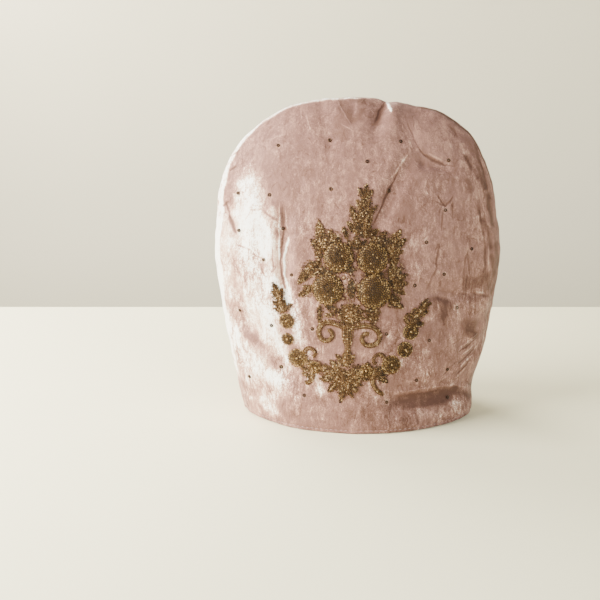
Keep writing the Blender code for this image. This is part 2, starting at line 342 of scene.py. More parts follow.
LINES_BACK = rows_of(
    Line,
    ((54, 298), (62, 246), 1.4, -0.6, -0.20), ((61, 252), (71, 196), 1.3, -0.6, -0.18),
    ((-22, 332), (-29, 292), 1.4, -0.6, -0.20), ((-60, 228), (-52, 164), 1.4, -0.6, -0.19),
    ((-53, 170), (-46, 112), 1.3, -0.5, -0.16), ((-112, 148), (-88, 104), 1.5, -0.6, -0.19),
    ((-92, 110), (-68, 70), 1.3, -0.5, -0.16), ((44, 52), (78, 56), 1.5, -0.6, -0.20),
    ((72, 56), (110, 66), 1.3, -0.5, -0.16), ((110, 200), (134, 142), 1.5, -0.6, -0.19),
    ((14, 244), (8, 206), 1.1, 0.4, 0.14), ((-96, 270), (-84, 236), 1.1, 0.4, 0.18),
)

MIDDLE_NAP = 0.46
PALEST_TONE = 1.00
# The edges of the marks of crushed pile and painted light wander this far, and this often to the metre
NAP_AND_LIGHT_WANDER = 0.0030
NAP_AND_LIGHT_WANDER_SCALE = 70.0
# Painted light and shade on the small relief: how much paler a rise of one metre is painted, and a dip
# darker, and the rises and dips that count
LIGHT_ON_RISE = 45.0
RISES = (-0.002, 0.001)
# Painted highlight beside the seam on the left, where the light from the left catches the edge turning to the
# seam: a pale band that narrows to the crown
PALE_BAND_LOW = 0.0150
PALE_BAND_HIGH = 0.0050
PALE_BAND_HIGHLIGHT = 0.46
PALE_BAND_EDGE = 0.0025
# It fades out right of the middle, and fades in over the lowest part
PALE_BAND_RIGHT_END, PALE_BAND_RIGHT_FADE = 0.03, 0.04
PALE_BAND_LOW_END, PALE_BAND_LOW_FADE = 0.04, 0.16
# A shallow groove beside the seam on the right shoulder, with painted shade along it
SEAM_GROOVE_OFFSET = 0.0042
SEAM_GROOVE_HALF_WIDTH = 0.0012
SEAM_GROOVE_SHADE = -0.42
SEAM_GROOVE_DEPTH = 0.0004
SEAM_GROOVE_RIGHT_OF = 0.05
SEAM_GROOVE_ABOVE = 0.24
SEAM_GROOVE_FADE_ACROSS, SEAM_GROOVE_FADE_UP = 0.03, 0.02

# Single beads strewn over the front panel
STREWN = (
    (-83, 291), (-30, 297), (43, 296), (8, 277), (93, 276), (-125, 241), (-92, 242), (-29, 250),
    (30, 248), (-124, 203), (-78, 209), (89, 227), (69, 196), (118, 185), (-98, 176), (-69, 163),
    (88, 162), (57, 153), (103, 125), (-124, 117), (-90, 108), (-48, 109), (28, 105), (73, 95),
    (-80, 64), (-114, 45), (-56, 38), (-19, 35), (94, 60), (60, 54), (29, 33), (95, 28),
)
DIMPLE_HALF_WIDTH = 3.2
DIMPLE_DEPTH = 0.9


class Rose(NamedTuple):
    """A domed rose of seed beads."""

    x: float
    z: float
    radius: float
    dome: float


class Rosette(NamedTuple):
    """A small flower of rings of seed beads round one ball."""

    x: float
    z: float
    radius: float
    dome: float = 1.3


class Leaf(NamedTuple):
    """A leaf of strung seed beads, from its foot along its turn in degrees."""

    x: float
    z: float
    turn: float
    length: float
    width: float


ROSES = rows_of(Rose, (-21, 183, 16, 4.5), (13, 182, 16.5, 4.5), (-32, 151, 16.5, 4.5), (15, 149, 18, 5.0))
BOUQUET_LEAVES = rows_of(
    Leaf,
    # The spire
    (5, 241, 119, 12.5, 6), (5, 241, 80, 15.5, 5.5), (6, 241, 48, 12, 5), (1, 229, 106, 12.5, 5),
    (4, 231, 88, 14, 8.5), (7, 230, 68, 12.5, 5), (-2, 215, 110, 21, 8), (1, 217, 90, 16, 9.5),
    (4, 216, 61, 19.5, 8), (12, 227, 49, 10, 3.5), (-4, 207, 125, 15, 7), (-2, 205, 86, 14, 9),
    (5, 212, 50, 12, 7), (-12, 201, 112, 14, 6), (3, 203, 22, 19, 8), (5, 206, 60, 12, 7),
    (-3, 192, 90, 14, 9), (-7, 191, 118, 11, 6), (0, 192, 48, 11, 6),
    # Upper left spray
    (-37, 189, 99, 31, 12), (-38, 187, 131, 18, 8), (-26, 190, 98, 21, 9), (-21, 192, 92, 13, 7),
    (-35, 182, 151, 13, 7),
    # Upper right spray
    (14, 192, 52, 22, 9), (10, 193, 64, 15, 7), (28, 187, 58, 27, 11), (30, 187, 37, 23, 10),
    (28, 183, 19, 18, 8), (29, 177, 24, 13, 7),
    # Left side
    (-48, 175, 235, 25, 11), (-38, 177, 196, 14, 8), (-40, 169, 210, 12, 6), (-48, 151, 213, 17, 7),
    (-47, 152, 180, 11, 5),
    # Right side
    (29, 165, 58, 18, 8), (31, 161, 46, 16, 7), (32, 158, 22, 19, 8), (33, 155, 3, 17, 8),
    (33, 152, -26, 16, 7), (30, 140, -31, 18, 8), (31, 145, -24, 13, 6),
    # The fan below the roses
    *((-9, 126, turn, length, 6) for turn, length in (
        (165, 17), (137, 14), (108, 12), (75, 12), (45, 14), (14, 16), (-16, 17), (-46, 15), (-78, 14),
        (-108, 15), (-138, 14), (193, 14),
    )),
    (-40, 136, 268, 22, 5), (7, 120, 29, 18, 5), (11, 116, 43, 12, 5), (-22, 131, 170, 14, 6),
    (-23, 127, 196, 13, 5), (4, 129, 6, 16, 6), (6, 126, -18, 14, 5),
)
GARLAND_LEAVES = rows_of(
    Leaf,
    # The small palm under the stem
    (-14, 72, 90, 16, 8), (-14, 72, 127, 16, 7), (-14, 72, 53, 16, 7),
    # The hanging cluster
    (-16, 61, 158, 29, 12), (-20, 68, 133, 14, 8), (-20, 61, 190, 21, 10), (-16, 70, 270, 20, 12),
    (-16, 57, 265, 21, 9), (-18, 58, 224, 20, 8), (-14, 57, -42, 18, 9), (-13, 59, -21, 18, 8),
    (-13, 50, -56, 13, 5), (-13, 64, 17, 27, 12), (-9, 63, -4, 26, 11),
    # Links to the side flowers
    (13, 67, 120, 12, 6), (17, 66, -43, 17, 9), (-42, 63, 133, 20, 9), (-49, 64, 161, 12, 5),
    (-49, 59, 165, 10, 5),
    # The left drop
    (-76, 124, 115, 18, 9), (-80, 133, 112, 23, 8), (-78, 127, 147, 13, 6), (-77, 126, 38, 11, 5),
    (-82, 137, 135, 12, 5), (-81, 137, 80, 12, 5), (-77, 124, 165, 11, 5),
    # The right drop
    (54, 112, 62, 17, 9), (59, 121, 56, 22, 8), (60, 121, 23, 13, 6), (56, 113, 0, 12, 6),
    (54, 113, 135, 11, 5), (58, 121, 96, 10, 5), (64, 130, 18, 12, 5),
)
# Pale round beads, each inside a small ring of seeds
ROUNDELS = (
    (-8, 188), (-8, 181), (22, 189), (0, 184), (41, 208), (-34, 200), (-31, 208), (-16, 163), (-9, 167),
    (-1, 155), (-6, 150), (-10, 158), (2, 145), (-14, 150), (37, 137), (-8, 128), (-13, 124), (-16, 142),
    (-41, 180),
)
# Where seeds fill the gaps between the leaves: middles and reaches across and up
BOUQUET_GAPS = (
    (3, 219, 10, 24), (-3, 196, 9, 8), (-37, 198, 11, 14), (-25, 198, 8, 11), (30, 194, 15, 12),
    (-48, 172, 10, 8), (-38, 169, 8, 7), (37, 162, 11, 17), (35, 138, 8, 7), (-8, 152, 6, 15),
    (-10, 171, 8, 5), (-9, 124, 16, 12), (15, 166, 14, 5), (-30, 168, 12, 4), (-12, 117, 6, 5),
)
GARLAND_GAPS = (
    (-16, 62, 24, 12), (-46, 70, 10, 7), (10, 67, 14, 8), (23, 66, 8, 9), (-78, 130, 5, 9), (57, 120, 6, 9),
)
ROSETTES = rows_of(
    Rosette,
    (-73, 96, 6.5), (-74, 115, 8), (-63, 77, 9.2), (33, 73, 9.5), (47, 88, 8.8), (53, 106, 9), (-44, 69, 6),
    (7, 68, 6),
)
# The middle lines of the two scrolls, of the small curls, and of the hooks under the garland
SCROLLS = (
    (
        (-14, 112), (-21, 115), (-30, 117), (-37, 115), (-41, 109), (-40.5, 102.5), (-36.5, 98.5),
        (-31.5, 98.5), (-27.5, 102), (-28, 107), (-31.5, 109.5),
    ),
    (
        (-9, 112), (-2, 113.5), (7, 114.5), (15, 112), (20, 106.5), (20.5, 100), (16.5, 95.5), (10.5, 94),
        (5, 96), (2.5, 101), (5, 105.5), (9.5, 106),
    ),
)
CURLS = (
    ((-54.5, 78), (-55.5, 84), (-52.5, 88.5), (-47, 88), (-44.5, 83.5), (-47.5, 80)),
    ((28, 71), (26.5, 79), (22.5, 84.5), (16.5, 83), (14.5, 77.5), (18, 74.5)),
    ((52, 114), (47.5, 118.5), (49.5, 123.5), (54.5, 122.5), (55.5, 118)),
)
HOOKS = (
    ((-50, 75), (-48, 66.5), (-47.5, 59), (-50.5, 53.5), (-55, 51.5)),
    ((17.5, 71), (15, 63.5), (14, 56), (16.5, 50), (20.5, 45), (25, 42.5)),
)
# The stem narrows to a waist: heights, and the spaces between its strands there
STEM_MIDDLE = -11.8
STEM_STRANDS = 7
STEM = ((114, 1.8), (106, 1.9), (98, 1.4), (92.5, 0.8), (84, 1.3), (76, 1.9))
# Leaves keep this far from a rose
ROSE_MARGIN = 0.6
# Millimetres of a rose's edge to each scallop, and balls round it
SCALLOP = 5.2
RIM_BALLS = 6
# Millimetres between the spikes past a leaf's rim
SPIKE_PITCH = 2.6
# A leaf's inner outlines begin and end this many strands further in
LEVEL_FOOT, LEVEL_TIP = 0.9, 1.3
# Leaves whose foot is above this height are in the upper piece
UPPER_LEAVES = 185
SEEDS_ROUND_BALL = 7
# Tries at a bead to each square millimetre of a gap's reaches, and how many of the beads are balls
GAP_TRIES = 5
GAP_BALLS = 0.15
# A flower's padding reaches this share of its radius, and a gap's padding is this much of its reach
PAD_SHARE = 0.94
GAP_PAD = 1.4
# The middle strand of a band stands this much higher
BAND_RISE = 0.6
# Spaces between seeds on a strand, between strands, and in a rose, in seed widths
SEED_PITCH = 1.18
STRAND_PITCH = 1.20
ROSE_PITCH = 1.42
# The rim of a rose, in seed widths
ROSE_RIM = 1.9

# The hem's stitches, and how many rays find the cloth all round the hem
STITCH_PITCH = 0.0052
STITCH_LENGTH = 0.0034
STITCH_GIRTH = 0.0006
HEM_RAYS = 1440
HEM_THREAD = (0.50, 0.33, 0.30, 1.0)
# The padding thread is dark, as painted shade in the gaps between the beads
BEAD_THREAD_AND_GAP_SHADE = (0.060, 0.035, 0.018, 1.0)

# What every colour in the settings shares
COLOUR = {"subtype": "COLOR", "size": 4, "min": 0.0, "max": 1.0}


class ClothSettings(bpy.types.PropertyGroup):
    """The size of the cosy and of its cloth."""

    height: FloatProperty(
        name="Height", description="From the hem to the crown", default=0.338, min=0.1, unit="LENGTH"
    )
    half_width: FloatProperty(
        name="Half width", description="From the middle to the seam, where widest",
        default=0.1526, min=0.05, unit="LENGTH",
    )
    hem_half_width: FloatProperty(
        name="Hem half width", description="From the middle to the seam at the hem",
        default=0.1221, min=0.05, unit="LENGTH",
    )
    half_depth: FloatProperty(
        name="Half depth", description="From the seam's plane to the front of the hem",
        default=0.097, min=0.03, unit="LENGTH",
    )
    wall: FloatProperty(
        name="Wall", description="Velvet, wadding and backing together",
        default=0.0045, min=0.002, unit="LENGTH",
    )
    crown_wall: FloatProperty(
        name="Crown wall", description="The wall at the crown, over the turned edges",
        default=0.007, min=0.002, unit="LENGTH",
    )
    roll: FloatProperty(
        name="Roll", description="Radius of the turned edge at the hem and beside the seam",
        default=0.0019, min=0.0, unit="LENGTH",
    )
    ripple: FloatProperty(
        name="Ripple", description="Height of the small ripples of the padded cloth",
        default=0.0007, min=0.0, unit="LENGTH",
    )
    pucker: FloatProperty(
        name="Pucker", description="Height of the gathers beside the seam",
        default=0.0006, min=0.0, unit="LENGTH",
    )
    cells: IntVectorProperty(
        name="Cells", description="Faces of a panel across its half, from front to back, and up",
        size=3, default=(62, 68, 138), min=4,
    )


class VelvetSettings(bpy.types.PropertyGroup):
    """The colours of the velvet and its backing."""

    # The ramp of the pile's colours: crushed pile uses all of it, and it also paints light, shade in troughs
    # with the shadow and rose colours, and highlight where the pile faces the light with the bright, pale and
    # white colours
    shadow: FloatVectorProperty(
        name="Shadow", description="Pile seen down to its roots", default=(0.082, 0.035, 0.024, 1.0), **COLOUR
    )
    rose: FloatVectorProperty(
        name="Rose", description="Pile turned away from the light",
        default=(0.140, 0.068, 0.049, 1.0), **COLOUR,
    )
    blush: FloatVectorProperty(
        name="Blush", description="Pile standing up", default=(0.209, 0.104, 0.085, 1.0), **COLOUR
    )
    bright: FloatVectorProperty(
        name="Bright", description="Pile that leans a little to the light",
        default=(0.395, 0.214, 0.158, 1.0), **COLOUR,
    )
    pale: FloatVectorProperty(
        name="Pale", description="Pile pressed flat towards the light",
        default=(0.685, 0.500, 0.375, 1.0), **COLOUR,
    )
    white: FloatVectorProperty(
        name="White", description="Pressed pile where it shines most",
        default=(0.985, 0.975, 0.940, 1.0), **COLOUR,
    )
    backing: FloatVectorProperty(
        name="Backing", description="The cotton on the inner side",
        default=(0.700, 0.610, 0.560, 1.0), **COLOUR,
    )
    sheen: FloatProperty(
        name="Sheen", description="How much the edge of the pile catches the light",
        default=0.22, min=0.0, max=1.0, subtype="FACTOR",
    )


class BeadSettings(bpy.types.PropertyGroup):
    """The sizes and colours of the beads."""

    seed: FloatProperty(
        name="Seed bead", description="Diameter of a seed bead", default=0.0015, min=0.0005, unit="LENGTH"
    )
    ball: FloatProperty(
        name="Round bead", description="Diameter of a round bead", default=0.0024, min=0.0005, unit="LENGTH"
    )
    ring: FloatProperty(
        name="Ring bead", description="Diameter of a single dark ring bead",
        default=0.0035, min=0.0005, unit="LENGTH",
    )
    pale_gold: FloatVectorProperty(
        name="Pale gold", description="The brightest beads", default=(0.640, 0.425, 0.190, 1.0), **COLOUR
    )
    gold: FloatVectorProperty(
        name="Gold", description="Most of the beads", default=(0.150, 0.080, 0.028, 1.0), **COLOUR
    )
    pale_straw: FloatVectorProperty(
        name="Pale straw", description="The brightest beads of the leaves",
        default=(0.580, 0.395, 0.205, 1.0), **COLOUR,
    )
    straw: FloatVectorProperty(
        name="Straw", description="Most of the beads of the leaves",
        default=(0.158, 0.085, 0.038, 1.0), **COLOUR,
    )
    bronze: FloatVectorProperty(
        name="Bronze", description="The darkest beads", default=(0.030, 0.014, 0.006, 1.0), **COLOUR
    )


class StageSettings(bpy.types.PropertyGroup):
    """The floor, the light and the camera."""

    floor: FloatVectorProperty(
        name="Floor", description="Colour of the floor", default=(0.840, 0.800, 0.570, 1.0), **COLOUR
    )
    backdrop: FloatVectorProperty(
        name="Backdrop", description="Colour of the backdrop", default=(0.750, 0.695, 0.520, 1.0), **COLOUR
    )
    key_power: FloatProperty(
        name="Key light", description="Power of the large light on the left",
        default=108.0, min=0.0, subtype="POWER",
    )
    fill_power: FloatProperty(
        name="Fill light", description="Power of the soft light on the right",
        default=66.0, min=0.0, subtype="POWER",
    )
    rim_power: FloatProperty(
        name="Rim light", description="Power of the light behind on the left",
        default=48.0, min=0.0, subtype="POWER",
    )
    light_colour: FloatVectorProperty(
        name="Light colour", description="Colour of the key light and the rim light",
        subtype="COLOR", size=3, default=(1.0, 0.960, 0.87), min=0.0, max=1.0,
    )
    fill_colour: FloatVectorProperty(
        name="Fill colour", description="Colour of the fill light",
        subtype="COLOR", size=3, default=(0.935, 1.0, 0.985), min=0.0, max=1.0,
    )
    sky_strength: FloatProperty(
        name="Sky", description="Strength of the even light from all round", default=0.27, min=0.0
    )
    camera_place: FloatVectorProperty(
        name="Camera place", description="Where the camera stands",
        size=3, default=(-0.0605, -1.474, 0.471), subtype="TRANSLATION", unit="LENGTH",
    )
    camera_tilt: FloatProperty(
        name="Camera tilt", description="How far the camera looks down",
        default=math.radians(13.4), subtype="ANGLE",
    )
    lens: FloatProperty(
        name="Lens", description="Focal length on a 36 mm sensor",
        default=84.0, min=10.0, subtype="DISTANCE_CAMERA",
    )


class CosySettings(bpy.types.PropertyGroup):
    """All sizes and colours of the cosy and its stage."""

    cloth: PointerProperty(type=ClothSettings)
    velvet: PointerProperty(type=VelvetSettings)
    beads: PointerProperty(type=BeadSettings)
    stage: PointerProperty(type=StageSettings)


# The form of the cloth


def crown_height(cloth, inset):
    """The height of the crown, where the seam's turned edges make the wall thicker."""
    return cloth.height - inset * cloth.crown_wall / cloth.wall


def half_width(cloth, z, inset):
    """Half-widths of the arch at the heights z, drawn in all round by inset."""
    drop = (1.0 - z / WIDEST_HEIGHT).clip(0.0)
    flank = cloth.half_width - (cloth.half_width - cloth.hem_half_width) * drop**FLANK_POWER
    rise = (z - WIDEST_HEIGHT) / (crown_height(cloth, inset) - WIDEST_HEIGHT)
    crown = (1.0 - rise.clip(0.0, 1.0) ** CROWN_POWER_UP) ** (1 / CROWN_POWER_OUT)
    return (flank - inset) * crown


def half_depth(cloth, z, inset):
    """How far the panels stand from the seam's plane in the middle, drawn in by inset."""
    share = (z / crown_height(cloth, inset)).clip(0.0, 1.0)
    return (cloth.half_depth - inset) * (1.0 - share**2) ** DEPTH_POWER


def inside(cloth, points, inset):
    """Which of the points lie inside the cosy's smooth form, drawn in by inset."""
    x, y, z = points.T
    rise = (z / BODY_BEGINS).clip(0.0, 1.0)
    at_hem = np.where(x < 0.0, LEFT_HEM_ROUNDNESS, RIGHT_HEM_ROUNDNESS)
    power = at_hem + (BODY_ROUNDNESS - at_hem) * rise
    across = np.abs(x) / half_width(cloth, z, inset).clip(1e-9)
    deep = np.abs(y) / half_depth(cloth, z, inset).clip(1e-9)
    return (across**power + deep**power < 1.0) & (z < crown_height(cloth, inset))


def on_surface(cloth, directions, inset):
    """Where the rays from the middle of the hem leave the smooth form."""
    near = np.zeros((len(directions), 1))
    far = np.full((len(directions), 1), 2 * cloth.height)
    for _ in range(HALVINGS):
        middle = (near + far) / 2
        kept = inside(cloth, middle * directions, inset)[:, None]
        near, far = np.where(kept, middle, near), np.where(kept, far, middle)
    return near * directions


def distance_to(mark, points):
    """The distances in millimetres from the points to the mark's line, seen from the front."""
    seen = points[:, (0, 2)] / MM
    nearest = np.full(len(points), np.inf)
    for start, end in zip(mark.places, mark.places[1:]):
        run = np.subtract(end, start)
        share = ((seen - start) @ run / run.dot(run)).clip(0.0, 1.0)
        nearest = np.minimum(nearest, np.linalg.norm(seen - start - share[:, None] * run, axis=1))
    return nearest


def smooth(share):
    """A share from 0 to 1, eased at both ends."""
    share = np.clip(share, 0.0, 1.0)
    return share * share * (3.0 - 2.0 * share)


def share_of(mark, points):
    """How much of the mark reaches each point: all on its own panel, none past the seam."""
    if mark.side == BOTH:
        return 1.0
    return smooth(mark.side * points[:, 1] / SEAM_FADE)


def relief(points, marks):
    """How far the cloth stands out at the points: negative in a trough."""
    height = np.zeros(len(points))
    for mark in marks:
        away = distance_to(mark, points) / mark.half_width
        height += mark.height * MM * share_of(mark, points) * np.exp(-(away**2))
    return height


def nap(points, side, marks):
    """How pale the pile is painted at the points, from 0 to 1: crushed pile, with painted highlight and
    shade.
    """
    wander = np.array([noise.noise_vector(Vector(point) * NAP_AND_LIGHT_WANDER_SCALE) for point in points])
    strayed = points + wander * NAP_AND_LIGHT_WANDER
    paler, duller = np.zeros(len(points)), np.zeros(len(points))
    for mark in marks:
        if mark.nap and mark.side in (side, BOTH):
            away = distance_to(mark, strayed) / mark.half_width
            turned = paler if mark.nap > 0 else duller
            turned += mark.nap * np.exp(-(away**3))
    paleness = np.minimum(MIDDLE_NAP + paler, PALEST_TONE) + duller
    # On the front: the painted highlight of the pale band on the left, and the painted shade of the seam
    # groove on the right
    if side == FRONT:
        x, y, z = strayed.T
        rise = smooth((z - WIDEST_HEIGHT) / (CROWN - WIDEST_HEIGHT))
        reach = PALE_BAND_LOW + (PALE_BAND_HIGH - PALE_BAND_LOW) * rise
        on_left = smooth((PALE_BAND_RIGHT_END - x) / PALE_BAND_RIGHT_FADE)
        on_left *= smooth((z + PALE_BAND_LOW_END) / PALE_BAND_LOW_FADE)
        between = 0.5 * (np.abs(y) + np.abs(points[:, 1]))
        paleness += PALE_BAND_HIGHLIGHT * on_left * smooth((reach - between) / PALE_BAND_EDGE + 0.5)
        paleness += SEAM_GROOVE_SHADE * sewn_line(points)
    return paleness


def sewn_line(points):
    """How much of the groove beside the seam on the right, and of its painted shade, lies at each point."""
    x, y, z = points.T
    away = (np.abs(y) - SEAM_GROOVE_OFFSET) / SEAM_GROOVE_HALF_WIDTH
    begun = smooth((x - SEAM_GROOVE_RIGHT_OF) / SEAM_GROOVE_FADE_ACROSS)
    return begun * smooth((z - SEAM_GROOVE_ABOVE) / SEAM_GROOVE_FADE_UP) * np.exp(-(away**2))


def ripples(points, scale, stretch=(1.0, 1.0, 1.0)):
    """Smooth noise at the points, about -1 to 1."""
    return np.array([noise.noise(Vector(place)) for place in points * scale * np.array(stretch)])


def rolled(distance, radius):
    """How far a rounded edge of a radius falls back at a distance from the edge."""
    left = (radius - distance).clip(0.0, radius)
    return radius - np.sqrt(radius**2 - left**2)


def cut(form, place, normal, **settings):
    """Cuts the whole form by a plane."""
    every = form.verts[:] + form.edges[:] + form.faces[:]
    bmesh.ops.bisect_plane(form, geom=every, plane_co=place, plane_no=normal, **settings)


def open_quarter(cells):
    """The six squares of a box that become one panel, cut into cells. Far and lower sides are open."""
    form = bmesh.new()
    bmesh.ops.create_cube(form, size=2.0)
    for normal, clear in (((1, 0, 0), False), ((0, 1, 0), True), ((0, 0, -1), True)):
        cut(form, (0, 0, 0), normal, clear_outer=clear)
    for axis, count in enumerate(cells):
        along = [edge for edge in form.edges if abs(edge.verts[0].co[axis] - edge.verts[1].co[axis]) > 0.5]
        bmesh.ops.subdivide_edges(form, edges=along, cuts=count - 1, use_grid_fill=True)
    return form


def swell(form, cloth, side):
    """Maps the open quarter to the smooth form of one panel, and adds the lines along its edges."""
    box = np.array([vert.co for vert in form.verts])
    spread = np.array((cloth.half_width, -side * cloth.half_depth, cloth.height))
    directions = np.tan(box * math.pi / 4) * spread
    directions /= np.linalg.norm(directions, axis=1, keepdims=True)
    for vert, place in zip(form.verts, on_surface(cloth, directions, 0.0)):
        vert.co = place
    lines = [((0, side * away, 0), (0, 1, 0)) for away in SEAM_LOOPS]
    lines += [((0, 0, height), (0, 0, 1)) for height in HEM_LOOPS]
    for place, normal in lines:
        cut(form, place, normal, dist=SNAP)


def panel_form(cloth, side, marks, nap_and_light_marks):
    """One closed panel: velvet outside, backing inside, with folds, gathers and a rolled hem."""
    form = open_quarter(cloth.cells)
    swell(form, cloth, side)
    twin = form.verts.layers.int.new("twin")
    paleness = form.verts.layers.float.new("nap")
    form.normal_update()
    outer = list(form.verts)
    for index, vert in enumerate(outer):
        vert[twin] = index
    smooth_places = np.array([vert.co for vert in outer])
    rays = smooth_places / np.linalg.norm(smooth_places, axis=1, keepdims=True)
    normals = np.array([vert.normal for vert in outer])
    slopes = np.abs((normals * rays).sum(axis=1)).clip(STEEPEST)
    made = bmesh.ops.extrude_face_region(form, geom=form.faces[:])
    inner = [part for part in made["geom"] if isinstance(part, bmesh.types.BMVert)]

    away, height = np.abs(smooth_places[:, 1]), smooth_places[:, 2]
    valley = np.exp(-(((away - VALLEY_OFFSET) / VALLEY_HALF_WIDTH) ** 2))
    edge = np.exp(-((away / PUCKER_REACH) ** 2))
    groove = np.exp(-(((height - STITCH_HEIGHT) / GROOVE_HALF_WIDTH) ** 2))
    stand = relief(smooth_places, marks) - VALLEY_DEPTH * valley - GROOVE_DEPTH * groove
    stand += cloth.ripple * ripples(smooth_places, RIPPLE_SCALE)
    stand += 0.6 * cloth.ripple * ripples(smooth_places, FINE_RIPPLE_SCALE, (1.0, 1.0, 0.45))
    stand += cloth.pucker * edge * ripples(smooth_places, PUCKER_SCALE, (1.0, 0.15, 1.0))
    stand -= rolled(height, cloth.roll) + rolled(away, cloth.roll)
    if side == FRONT:
        stand -= SEAM_GROOVE_DEPTH * sewn_line(smooth_places)
    places = smooth_places + rays * (stand / slopes)[:, None]

    twins = np.array([vert[twin] for vert in inner])
    hollow = on_surface(cloth, rays[twins], cloth.wall)
    lift = relief(hollow, FOLDS) + rolled(hollow[:, 2], 0.8 * cloth.roll)
    hollow = hollow + rays[twins] * (lift / slopes[twins])[:, None]

    # The tone is crushed pile with painted light: the marks, the pale band and the seam groove, and the small
    # relief painted paler on rises and darker in dips
    tones = nap(smooth_places, side, marks + nap_and_light_marks)
    tones += LIGHT_ON_RISE * (stand - relief(smooth_places, FOLDS) + VALLEY_DEPTH * valley).clip(*RISES)
    gap = Vector((0.0, side * SEAM_GAP / 2, 0.0))
    for vert, place, tone in zip(outer, places, tones):
        vert.co = Vector(place) + gap
        vert[paleness] = tone
    for vert, place in zip(inner, hollow):
        vert.co = Vector(place) + gap
        vert[paleness] = MIDDLE_NAP
    inner_verts = set(inner)
    for face in form.faces:
        turned_under = all(vert.co.z < SNAP for vert in face.verts)
        face.material_index = int(any(vert in inner_verts for vert in face.verts) and not turned_under)
    bmesh.ops.recalc_face_normals(form, faces=form.faces)
    form.verts.layers.int.remove(form.verts.layers.int["twin"])
    return form


def shown(context, name, form, finishes):
    """A new piece from the form, smooth and with its finishes."""
    mesh = bpy.data.meshes.new(name)
    form.to_mesh(mesh)
    form.free()
    return linked(context, name, mesh, finishes)


def linked(context, name, mesh, finishes):
    """A new smooth piece from the mesh."""
    mesh.shade_smooth()
    for finish in finishes:
        mesh.materials.append(finish)
    piece = bpy.data.objects.new(name, mesh)
    context.scene.collection.objects.link(piece)
    return piece


# Finishes

FLOAT, VECTOR = "NodeSocketFloat", "NodeSocketVector"
NOWHERE = (0.0, 0.0, 0.0)
# How far the pile's patterns lean, in degrees, and how they stretch upwards
PILE_LEANS = ((6, 0.50), (4, 0.22), (-38, 0.45))
# How fine the pile's patterns are
PATCH_SCALE, MOTTLE_SCALE, STREAK_SCALE, GRAIN_SCALE, BUSY_SCALE = 34.0, 150.0, 420.0, 1100.0, 26.0


def placed(tree, kind, inputs=(), **settings):
    """Adds one node to the tree, sets it, and fills or joins its inputs."""
    made = tree.nodes.new(kind)
    for name, value in settings.items():
        setattr(made, name, value)
    for socket, value in dict(inputs).items():
        if isinstance(value, bpy.types.NodeSocket):
            tree.links.new(value, made.inputs[socket])
        else:
            made.inputs[socket].default_value = value
    return made


def sums(tree, operation, first, second):
    """One math node's result."""
    return placed(tree, "ShaderNodeMath", {0: first, 1: second}, operation=operation).outputs[0]


def blended(tree, amount, factor, base):
    """The base with an amount times a factor added to it."""
    values = {0: amount, 1: factor, 2: base}
    return placed(tree, "ShaderNodeMath", values, operation="MULTIPLY_ADD").outputs[0]


def vectors(tree, operation, *values):
    """One vector math node's outputs."""
    return placed(tree, "ShaderNodeVectorMath", dict(enumerate(values)), operation=operation).outputs


def mapped(tree, value, before, after, kind="LINEAR"):
    """The value carried from one range to another, and held at its ends."""
    ends = {"From Min": before[0], "From Max": before[1], "To Min": after[0], "To Max": after[1]}
    return placed(tree, "ShaderNodeMapRange", {"Value": value, **ends}, interpolation_type=kind).outputs[0]


def object_place(tree):
    """Places on the piece, which is at the origin."""
    return placed(tree, "ShaderNodeTexCoord").outputs["Object"]


def noise_at(tree, place, scale, detail=2.0, roughness=0.5):
    """Noise between 0 and 1."""
    settings = {"Vector": place, "Scale": scale, "Detail": detail, "Roughness": roughness}
    return placed(tree, "ShaderNodeTexNoise", settings).outputs["Fac"]


def pattern(tree, place, scale, detail=2.0, roughness=0.6):
    """Noise about nothing: between -0.5 and 0.5."""
    return sums(tree, "SUBTRACT", noise_at(tree, place, scale, detail, roughness), 0.5)


def ramp(tree, factor, stops):
    """A colour ramp's result: stops are places and colours."""
    made = placed(tree, "ShaderNodeValToRGB", {"Fac": factor})
    points = made.color_ramp.elements
    while len(points) < len(stops):
        points.new(0.5)
    for point, (place, colour) in zip(points, stops):
        point.position = place
        point.color = colour
    return made.outputs["Color"]


def new_group(name, inputs, outputs):
    """An empty node group with named sockets, and its input and output nodes."""
    group = bpy.data.node_groups.new(name, "ShaderNodeTree")
    for label, value in inputs.items():
        kind = VECTOR if isinstance(value, tuple) else FLOAT
        group.interface.new_socket(label, in_out="INPUT", socket_type=kind).default_value = value
    for label, kind in outputs.items():
        group.interface.new_socket(label, in_out="OUTPUT", socket_type=kind)
    return group, group.nodes.new("NodeGroupInput"), group.nodes.new("NodeGroupOutput")


def placed_group(tree, group, inputs):
    """The outputs of a group that is placed in the tree."""
    return placed(tree, "ShaderNodeGroup", inputs, node_tree=group).outputs


def built_once(build):
    """Builds a node group the first time it is asked for, under its function's name."""
    def group():
        return bpy.data.node_groups.get(build.__name__) or build(build.__name__)
    return group


@built_once
def strayed_place(name):
    """Object coordinates, pushed about a little, so that patterns on them wander."""
    group, given, result = new_group(name, {"Reach": 0.01, "Scale": 40.0}, {"Place": VECTOR})
    place = object_place(group)
    drift = placed(
        group, "ShaderNodeTexNoise", {"Vector": place, "Scale": given.outputs["Scale"], "Detail": 3.0}
    ).outputs["Color"]
    centred = vectors(group, "SUBTRACT", drift, (0.5, 0.5, 0.5))[0]
    pushed = vectors(group, "MULTIPLY_ADD", centred, given.outputs["Reach"], place)[0]
    group.links.new(pushed, result.inputs["Place"])
    return group


